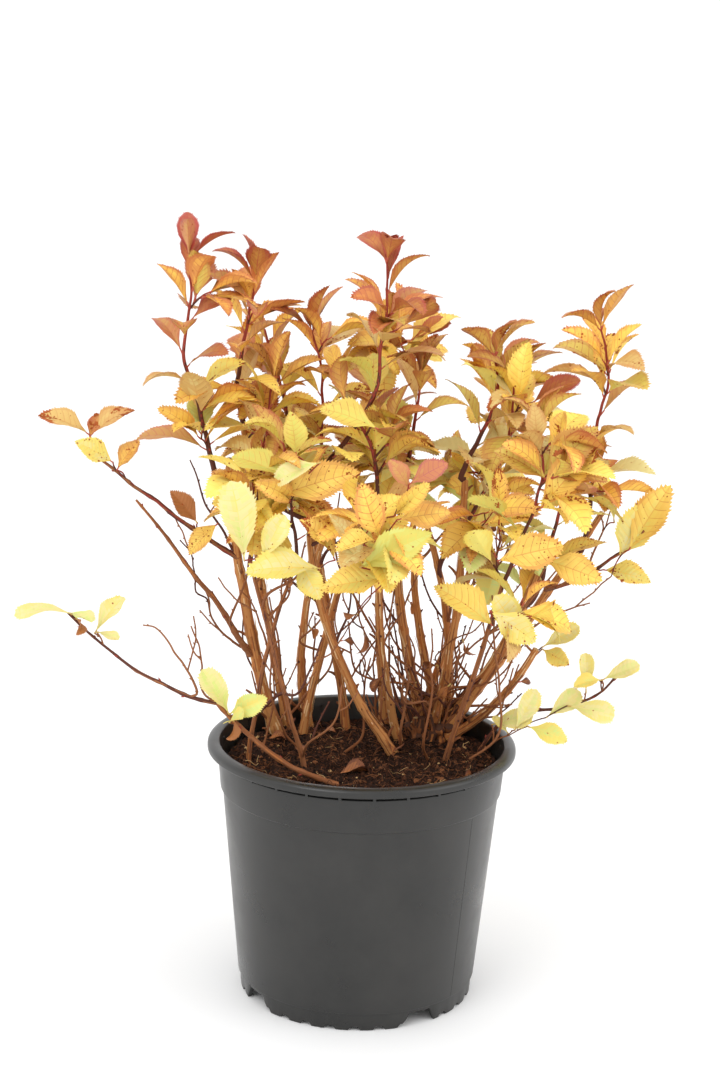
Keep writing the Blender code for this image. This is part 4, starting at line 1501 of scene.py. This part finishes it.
class SHRUB_OT_canes(bpy.types.Operator):
    """Makes the canes and boughs with ridged bark, peeling strips, buds and pruned ends"""

    bl_idname = "shrub.canes"
    bl_label = "Canes and boughs"

    # Finishes of the bark, from its furrows to its ridges
    CANE_TONES = ("bark_brown", "bark_orange", "bark_tan", "bark_pale")
    THIN_CANE_TONES = ("bark_shoot_dark", "bark_brown", "bark_twig", "bark_orange")
    BOUGH_TONES = ("bark_shoot_dark", "bark_twig", "bark_shoot_red")
    OTHER_BOUGH_TONES = {
        "bough_left_bare": ("bark_brown", "bark_twig", "bark_orange"),
        "bough_left_low": ("bark_brown", "bark_twig", "bark_orange"),
        "bough_left_low_tip": ("bark_shoot_dark", "bark_shoot_dark", "bark_twig"),
        "bough_right_low": ("bark_shoot_dark", "bark_shoot_dark", "bark_twig"),
    }
    # Canes thinner than this at the top have young bark
    THIN = 1.7
    STUMPS = 46

    def execute(self, context):
        settings = context.scene.shrub_wood
        crown = crown_of(context)
        names = ("tan", "orange", "brown", "dark", "pale", "cut_wood")
        names += ("shoot_red", "shoot_dark", "twig")
        finishes = [finish("bark_" + name, getattr(settings, name), 0.78, 0.3) for name in names]
        canes, boughs = Pile(finishes), Pile(finishes)
        for count, stem in enumerate(crown.limbs.values()):
            chance = random.Random(100 + count)
            if stem["kind"] == "cane":
                self.add_cane(canes, stem, chance, settings.relief)
            else:
                self.add_bough(boughs, stem, chance, settings.relief)
        self.add_crown(canes, random.Random(5))
        for pile, word, slot in ((canes, "cane", "cane_bark"), (boughs, "bough", "twig_bark")):
            nodes = [name for name in LIMBS if name.startswith(word)]
            nodes += ["woody_crown"] if word == "cane" else []
            place(pile.build(word + "s", sharp_degrees=50), nodes)
        return {"FINISHED"}

    def swollen(self, stem, chance, spacing, share):
        """The radii of a stem, with a slight swelling at each joint, and where the joints are."""
        path, radii = stem["path"], stem["radii"].copy()
        step = length_of(path) / (len(path) - 1)
        joints, at = [], chance.uniform(6, spacing)
        while at < length_of(path) - 4:
            joints.append(at / step)
            at += spacing * chance.uniform(0.7, 1.3)
        rows = np.arange(len(path))
        for joint in joints:
            radii *= 1 + share * np.exp(-(((rows - joint) * step / 1.9) ** 2))
        return radii, [int(joint) for joint in joints]

    def add_cane(self, pile, stem, chance, relief):
        """A cane with ridged bark, buds and short spurs at its joints, and loose strips."""
        path = stem["path"]
        radii, joints = self.swollen(stem, chance, 19, 0.16)
        thin = radii[-1] < self.THIN
        flare = 1 + 0.3 * np.exp(-np.arange(len(path)) * 1.6 / 7)
        radii = radii * (0.82 if thin else 0.88) * flare
        sides = int(np.clip(8 + 5 * radii[0], 14, 28))
        ridges = streaks(len(path), sides, chance, 18)
        fine = streaks(len(path), sides, chance, 5)
        surface = relief * (1.6 * (ridges - 0.5) + 0.8 * (fine - 0.5))
        value = (0.6 * ridges + 0.4 * fine)[:-1].ravel()
        tones = [pile.slot(name) for name in (self.THIN_CANE_TONES if thin else self.CANE_TONES)]
        slots = np.select((value < 0.27, value < 0.47, value < 0.78), tones[:3], tones[3])
        end = pile.slot("bark_cut_wood" if stem["name"] in CUT_CANES else "bark_tan")
        add_tube(pile, path, radii, sides, end, surface, slots)
        frames = frames_along(path)
        for joint in joints:
            outward = outward_at(frames, joint, chance.uniform(0, FULL_TURN))
            ahead = frames[0][joint]
            start = path[joint] + outward * radii[joint] * 0.8
            if chance.random() < 0.35:
                length = chance.uniform(2.5, 8)
                tip = start + unit(outward + ahead * 0.7) * length
                way = smooth_way([start, (start + tip) / 2 + ahead * 0.4, tip], 1.2)
                add_tube(pile, way, np.linspace(1.0, 0.6, len(way)), 7, pile.slot("bark_brown"))
            else:
                dark, length = pile.slot("bark_shoot_dark"), chance.uniform(1.4, 2.6)
                add_bud(pile, start, outward + ahead * 0.9, length, (0.75, 0.6, 0.15), 6, dark)
        for _ in range(0 if thin else max(3, int(length_of(path) / 14))):
            self.add_strip(pile, path, radii, frames, chance)

    def add_strip(self, pile, path, radii, frames, chance):
        """A narrow strip of old bark that lifts off at one end."""
        rows = len(path)
        start = chance.randrange(2, max(3, rows - 22))
        count = min(chance.randrange(6, 20), rows - start - 1)
        turn = chance.uniform(0, FULL_TURN)
        half = chance.uniform(0.1, 0.2)
        points = []
        lifts = chance.uniform(0.5, 2.2)
        upward = chance.random() < 0.5
        for step in range(count):
            share = step / (count - 1)
            loose = (share if upward else 1 - share) ** 2.5
            index = start + step
            width = half * (1 - 0.7 * loose)
            for edge in (-width, width):
                outward = outward_at(frames, index, turn + edge + 0.08 * math.sin(share * 5))
                points.append(path[index] + outward * (radii[index] * 1.1 + 0.1 + loose * lifts))
        faces = [(2 * step, 2 * step + 1, 2 * step + 3, 2 * step + 2) for step in range(count - 1)]
        pile.add(points, faces, pile.slot(chance.choice(("bark_pale", "bark_tan", "bark_orange"))))

    def add_bough(self, pile, stem, chance, relief):
        """A bough with thin smooth bark, and a bud at each joint."""
        path = stem["path"]
        radii, joints = self.swollen(stem, chance, 13, 0.22)
        sides = 12
        ridges = streaks(len(path), sides, chance, 6)
        value = ridges[:-1].ravel()
        names = self.OTHER_BOUGH_TONES.get(stem["name"], self.BOUGH_TONES)
        tones = [pile.slot(name) for name in names]
        slots = np.select((value < 0.4, value < 0.75), tones[:2], tones[2])
        add_tube(pile, path, radii, sides, tones[1], relief * (ridges - 0.5), slots)
        frames, red = frames_along(path), pile.slot("bark_shoot_red")
        for count, joint in enumerate(joints):
            outward = outward_at(frames, joint, count * GOLDEN_ANGLE)
            start = path[joint] + outward * radii[joint] * 0.7
            way, length = outward + frames[0][joint] * 1.2, chance.uniform(1.2, 2.4)
            add_bud(pile, start, way, length, (0.6, 0.5, 0.12), 6, red)

    def add_crown(self, pile, chance):
        """The knot of old wood that the canes spring from, with the stumps of earlier ones."""
        centre, half = mass_shape("woody_crown")
        tones = [pile.slot(name) for name in ("bark_dark", "bark_brown", "bark_orange")]
        for count in range(self.STUMPS):
            turn = count * GOLDEN_ANGLE
            level = np.array((math.cos(turn), math.sin(turn), 0))
            out = math.sqrt((count + 0.5) / self.STUMPS)
            lean = level * chance.uniform(0.1, 0.9)
            foot = centre + level * half * 0.72 * out
            foot[2] = MIX_TOP - 2
            rise = (half[2] * 2.1) * (1 - 0.75 * out**2) * chance.uniform(0.45, 1.0) + 3
            tip = foot + unit(lean * 0.7 + UP) * rise
            bend = np.array((chance.gauss(0, 1.6), chance.gauss(0, 1.6), 0))
            way = kinked(smooth_way([foot, (foot + tip) / 2 + bend, tip], 1.4), chance, 6, 0.9)
            radius = chance.uniform(1.6, 3.6)
            radii = np.linspace(radius * 1.2, radius * 0.75, len(way))
            beat = np.arange(len(way)) * chance.uniform(0.5, 1.1) + chance.uniform(0, 6)
            radii *= 1 + 0.18 * np.sin(beat)
            ridges = streaks(len(way), 14, chance, 6)
            value = ridges[:-1].ravel()
            slots = np.select((value < 0.5, value < 0.85), tones[:2], tones[2])
            end = "bark_cut_wood" if chance.random() < 0.25 else "bark_dark"
            add_tube(pile, way, radii, 14, pile.slot(end), 0.24 * (ridges - 0.5), slots)


class SHRUB_OT_shoots(bpy.types.Operator):
    """Makes the leafy shoots, and the thin twigs between the canes with their buds"""

    bl_idname = "shrub.shoots"
    bl_label = "Shoots and twigs"

    def execute(self, context):
        settings = context.scene.shrub_wood
        names = ("shoot_red", "shoot_dark", "twig", "brown")
        finishes = [finish("bark_" + name, getattr(settings, name), 0.6, 0.4) for name in names]
        shoots, twigs = Pile(finishes), Pile(finishes)
        chance = random.Random(31)
        for stem in crown_of(context).stems:
            if stem["kind"] == "shoot":
                self.add_shoot(shoots, stem, chance)
            elif stem["kind"] == "twig":
                self.add_twig(twigs, stem, chance)
        place(shoots.build("shoots"))
        place(twigs.build("twigs"))
        return {"FINISHED"}

    def add_shoot(self, pile, stem, chance):
        """A shoot, dark at its foot and red towards its tip."""
        path, sides = stem["path"], 8
        share = np.repeat(np.linspace(0, 1, len(path) - 1), sides)
        share = share + np.array([chance.gauss(0, 0.12) for _ in share])
        red, dark = pile.slot("bark_shoot_red"), pile.slot("bark_shoot_dark")
        add_tube(pile, path, stem["radii"], sides, red, None, np.where(share > 0.55, red, dark))

    def add_twig(self, pile, stem, chance):
        """A twig of one tone, with a bud every few millimetres."""
        path, radii = stem["path"], stem["radii"]
        tones = ("bark_twig", "bark_brown", "bark_brown", "bark_twig", "bark_shoot_dark")
        slot = pile.slot(chance.choice(tones))
        add_tube(pile, path, radii, 7, slot)
        frames = frames_along(path)
        for index in range(4, len(path) - 1, 5):
            outward = outward_at(frames, index, index * GOLDEN_ANGLE)
            start = path[index] + outward * radii[index] * 0.6
            way, length = outward + frames[0][index], chance.uniform(0.9, 1.7)
            add_bud(pile, start, way, length, (0.45, 0.4, 0.1), 5, slot)


class SHRUB_OT_leaves(bpy.types.Operator):
    """Makes every leaf and its stalk, joined by the family of its tint"""

    bl_idname = "shrub.leaves"
    bl_label = "Leaves"

    # The masses of leaves that each family's piece stands for
    MASSES = {
        "leaf_rust": ("plume",),
        "leaf_lime": ("left_low", "left_lime", "right_low_inner", "right_low_outer"),
        "leaf_yellow": ("low_right", "core_", "stub_pair", "right_tip"),
    }
    # Leaves of a lower tint than this have pale stalks
    PALE_STALKS = 1.7

    def family_of_mass(self, name):
        """The family whose piece stands for a mass of leaves."""
        for family, words in self.MASSES.items():
            if any(word in name for word in words):
                return family
        return "leaf_gold"

    def execute(self, context):
        wood = context.scene.shrub_wood
        crown = crown_of(context)
        finishes = leaf_finishes(context.scene.shrub_leaves)
        piles = {family: Pile(finishes) for family in FAMILIES}
        family_of = {tint: family for family, tints in FAMILIES.items() for tint in tints}
        patterns = leaf_patterns()
        stalk_colours = {"leaf_stalk": wood.petiole, "leaf_stalk_pale": wood.pale_petiole}
        stalks = Pile([finish(name, colour, 0.5, 0.4) for name, colour in stalk_colours.items()])
        for leaf in crown.leaves:
            ladder = TINTS[leaf["ladder"]]
            tint = ladder[int(np.clip(round(leaf["tint"]), 0, len(ladder) - 1))]
            add_leaf_mesh(piles[family_of[tint]], patterns, leaf)
            start, foot = leaf["stalk"]
            path = np.array((start, (start + foot) / 2 - UP * 0.2, foot + leaf["way"] * 0.8))
            add_tube(stalks, path, (0.55, 0.45, 0.4), 6, int(leaf["tint"] < self.PALE_STALKS))
        for family, pile in piles.items():
            nodes = [name for name in crown.masses if self.family_of_mass(name) == family]
            place(pile.build(family.replace("leaf_", "leaves_in_")), nodes)
        place(stalks.build("leaf_stalks"))
        return {"FINISHED"}


class SHRUB_OT_stage(bpy.types.Operator):
    """Makes the plain pale floor, the soft studio light and the camera"""

    bl_idname = "shrub.stage"
    bl_label = "Stage"

    # Half the floor's side in metres, and how far it lies below the pot against a double surface
    FLOOR_HALF = 8.0
    FLOOR_DROP = 0.0002
    # Place and width of each light, and the point they shine at, in metres
    KEY = ((-0.9, -1.3, 1.7), 1.2)
    FILL = ((1.5, -0.6, 1.1), 1.4)
    AIM = (0.0, 0.0, 0.25)

    def execute(self, context):
        settings = context.scene.shrub_stage
        self.make_floor(settings)
        self.make_light(settings)
        self.make_camera(context)
        context.scene.view_settings.view_transform = "Standard"
        return {"FINISHED"}

    def make_floor(self, settings):
        half = self.FLOOR_HALF
        corners = [(-half, -half, 0), (half, -half, 0), (half, half, 0), (-half, half, 0)]
        mesh = bpy.data.meshes.new("floor")
        mesh.from_pydata(corners, [], [(0, 1, 2, 3)])
        mesh.materials.append(finish("floor_pale", settings.floor, 0.7, 0.2))
        floor = bpy.data.objects.new("floor", mesh)
        floor.location.z = -self.FLOOR_DROP
        bpy.context.scene.collection.objects.link(floor)

    def make_light(self, settings):
        world = bpy.data.worlds.new("white_surroundings")
        world.use_nodes = True
        background = world.node_tree.nodes["Background"]
        background.inputs["Color"].default_value = (1.0, 1.0, 1.0, 1.0)
        background.inputs["Strength"].default_value = settings.sky
        bpy.context.scene.world = world
        self.add_area("key_light", settings.key, *self.KEY)
        self.add_area("fill_light", settings.fill, *self.FILL)

    def add_area(self, name, power, spot, size):
        """A round soft light that shines at the plant."""
        data = bpy.data.lights.new(name, "AREA")
        data.energy = power
        data.shape = "DISK"
        data.size = size
        light = bpy.data.objects.new(name, data)
        light.location = spot
        light.rotation_mode = "QUATERNION"
        light.rotation_quaternion = (Vector(self.AIM) - Vector(spot)).to_track_quat("-Z", "Y")
        bpy.context.scene.collection.objects.link(light)

    def make_camera(self, context):
        data = bpy.data.cameras.new("camera")
        data.sensor_width = SENSOR_WIDTH
        data.lens = FOCAL_PIXELS / PHOTO_HEIGHT * SENSOR_WIDTH
        data.clip_start, data.clip_end = 0.05, 50.0
        camera = bpy.data.objects.new("camera", data)
        level = Vector((1, 0, 0))
        upward = Vector((0, math.sin(CAMERA_PITCH), math.cos(CAMERA_PITCH)))
        right = level * math.cos(CAMERA_ROLL) + upward * math.sin(CAMERA_ROLL)
        top = upward * math.cos(CAMERA_ROLL) - level * math.sin(CAMERA_ROLL)
        back = right.cross(top)
        matrix = Matrix((right, top, back)).transposed().to_4x4()
        matrix.translation = Vector(CAMERA_PLACE * MM)
        camera.matrix_world = matrix
        context.scene.collection.objects.link(camera)
        context.scene.camera = camera


STEPS = (
    SHRUB_OT_pot,
    SHRUB_OT_potting_mix,
    SHRUB_OT_canes,
    SHRUB_OT_shoots,
    SHRUB_OT_leaves,
    SHRUB_OT_stage,
)


class SHRUB_PT_panel(bpy.types.Panel):
    """Lists the steps that dress the shrub, with the settings they use"""

    bl_idname = "SHRUB_PT_panel"
    bl_label = "Potted Spirea Shrub"
    bl_space_type = "VIEW_3D"
    bl_region_type = "UI"
    bl_category = "Shrub"

    def draw(self, context):
        for step in STEPS:
            self.layout.operator(step.bl_idname)
        for name, group in SETTINGS.items():
            box = self.layout.box()
            for setting in group.__annotations__:
                box.prop(getattr(context.scene, name), setting)


def register():
    for name, group in SETTINGS.items():
        bpy.utils.register_class(group)
        setattr(bpy.types.Scene, name, bpy.props.PointerProperty(type=group))
    for step in STEPS:
        bpy.utils.register_class(step)
    bpy.utils.register_class(SHRUB_PT_panel)


def unregister():
    bpy.utils.unregister_class(SHRUB_PT_panel)
    for step in reversed(STEPS):
        bpy.utils.unregister_class(step)
    for name, group in SETTINGS.items():
        delattr(bpy.types.Scene, name)
        bpy.utils.unregister_class(group)


def main():
    register()
    bpy.ops.shrub.pot()
    bpy.ops.shrub.potting_mix()
    bpy.ops.shrub.canes()
    bpy.ops.shrub.shoots()
    bpy.ops.shrub.leaves()
    bpy.ops.shrub.stage()


if __name__ == "__main__":
    main()
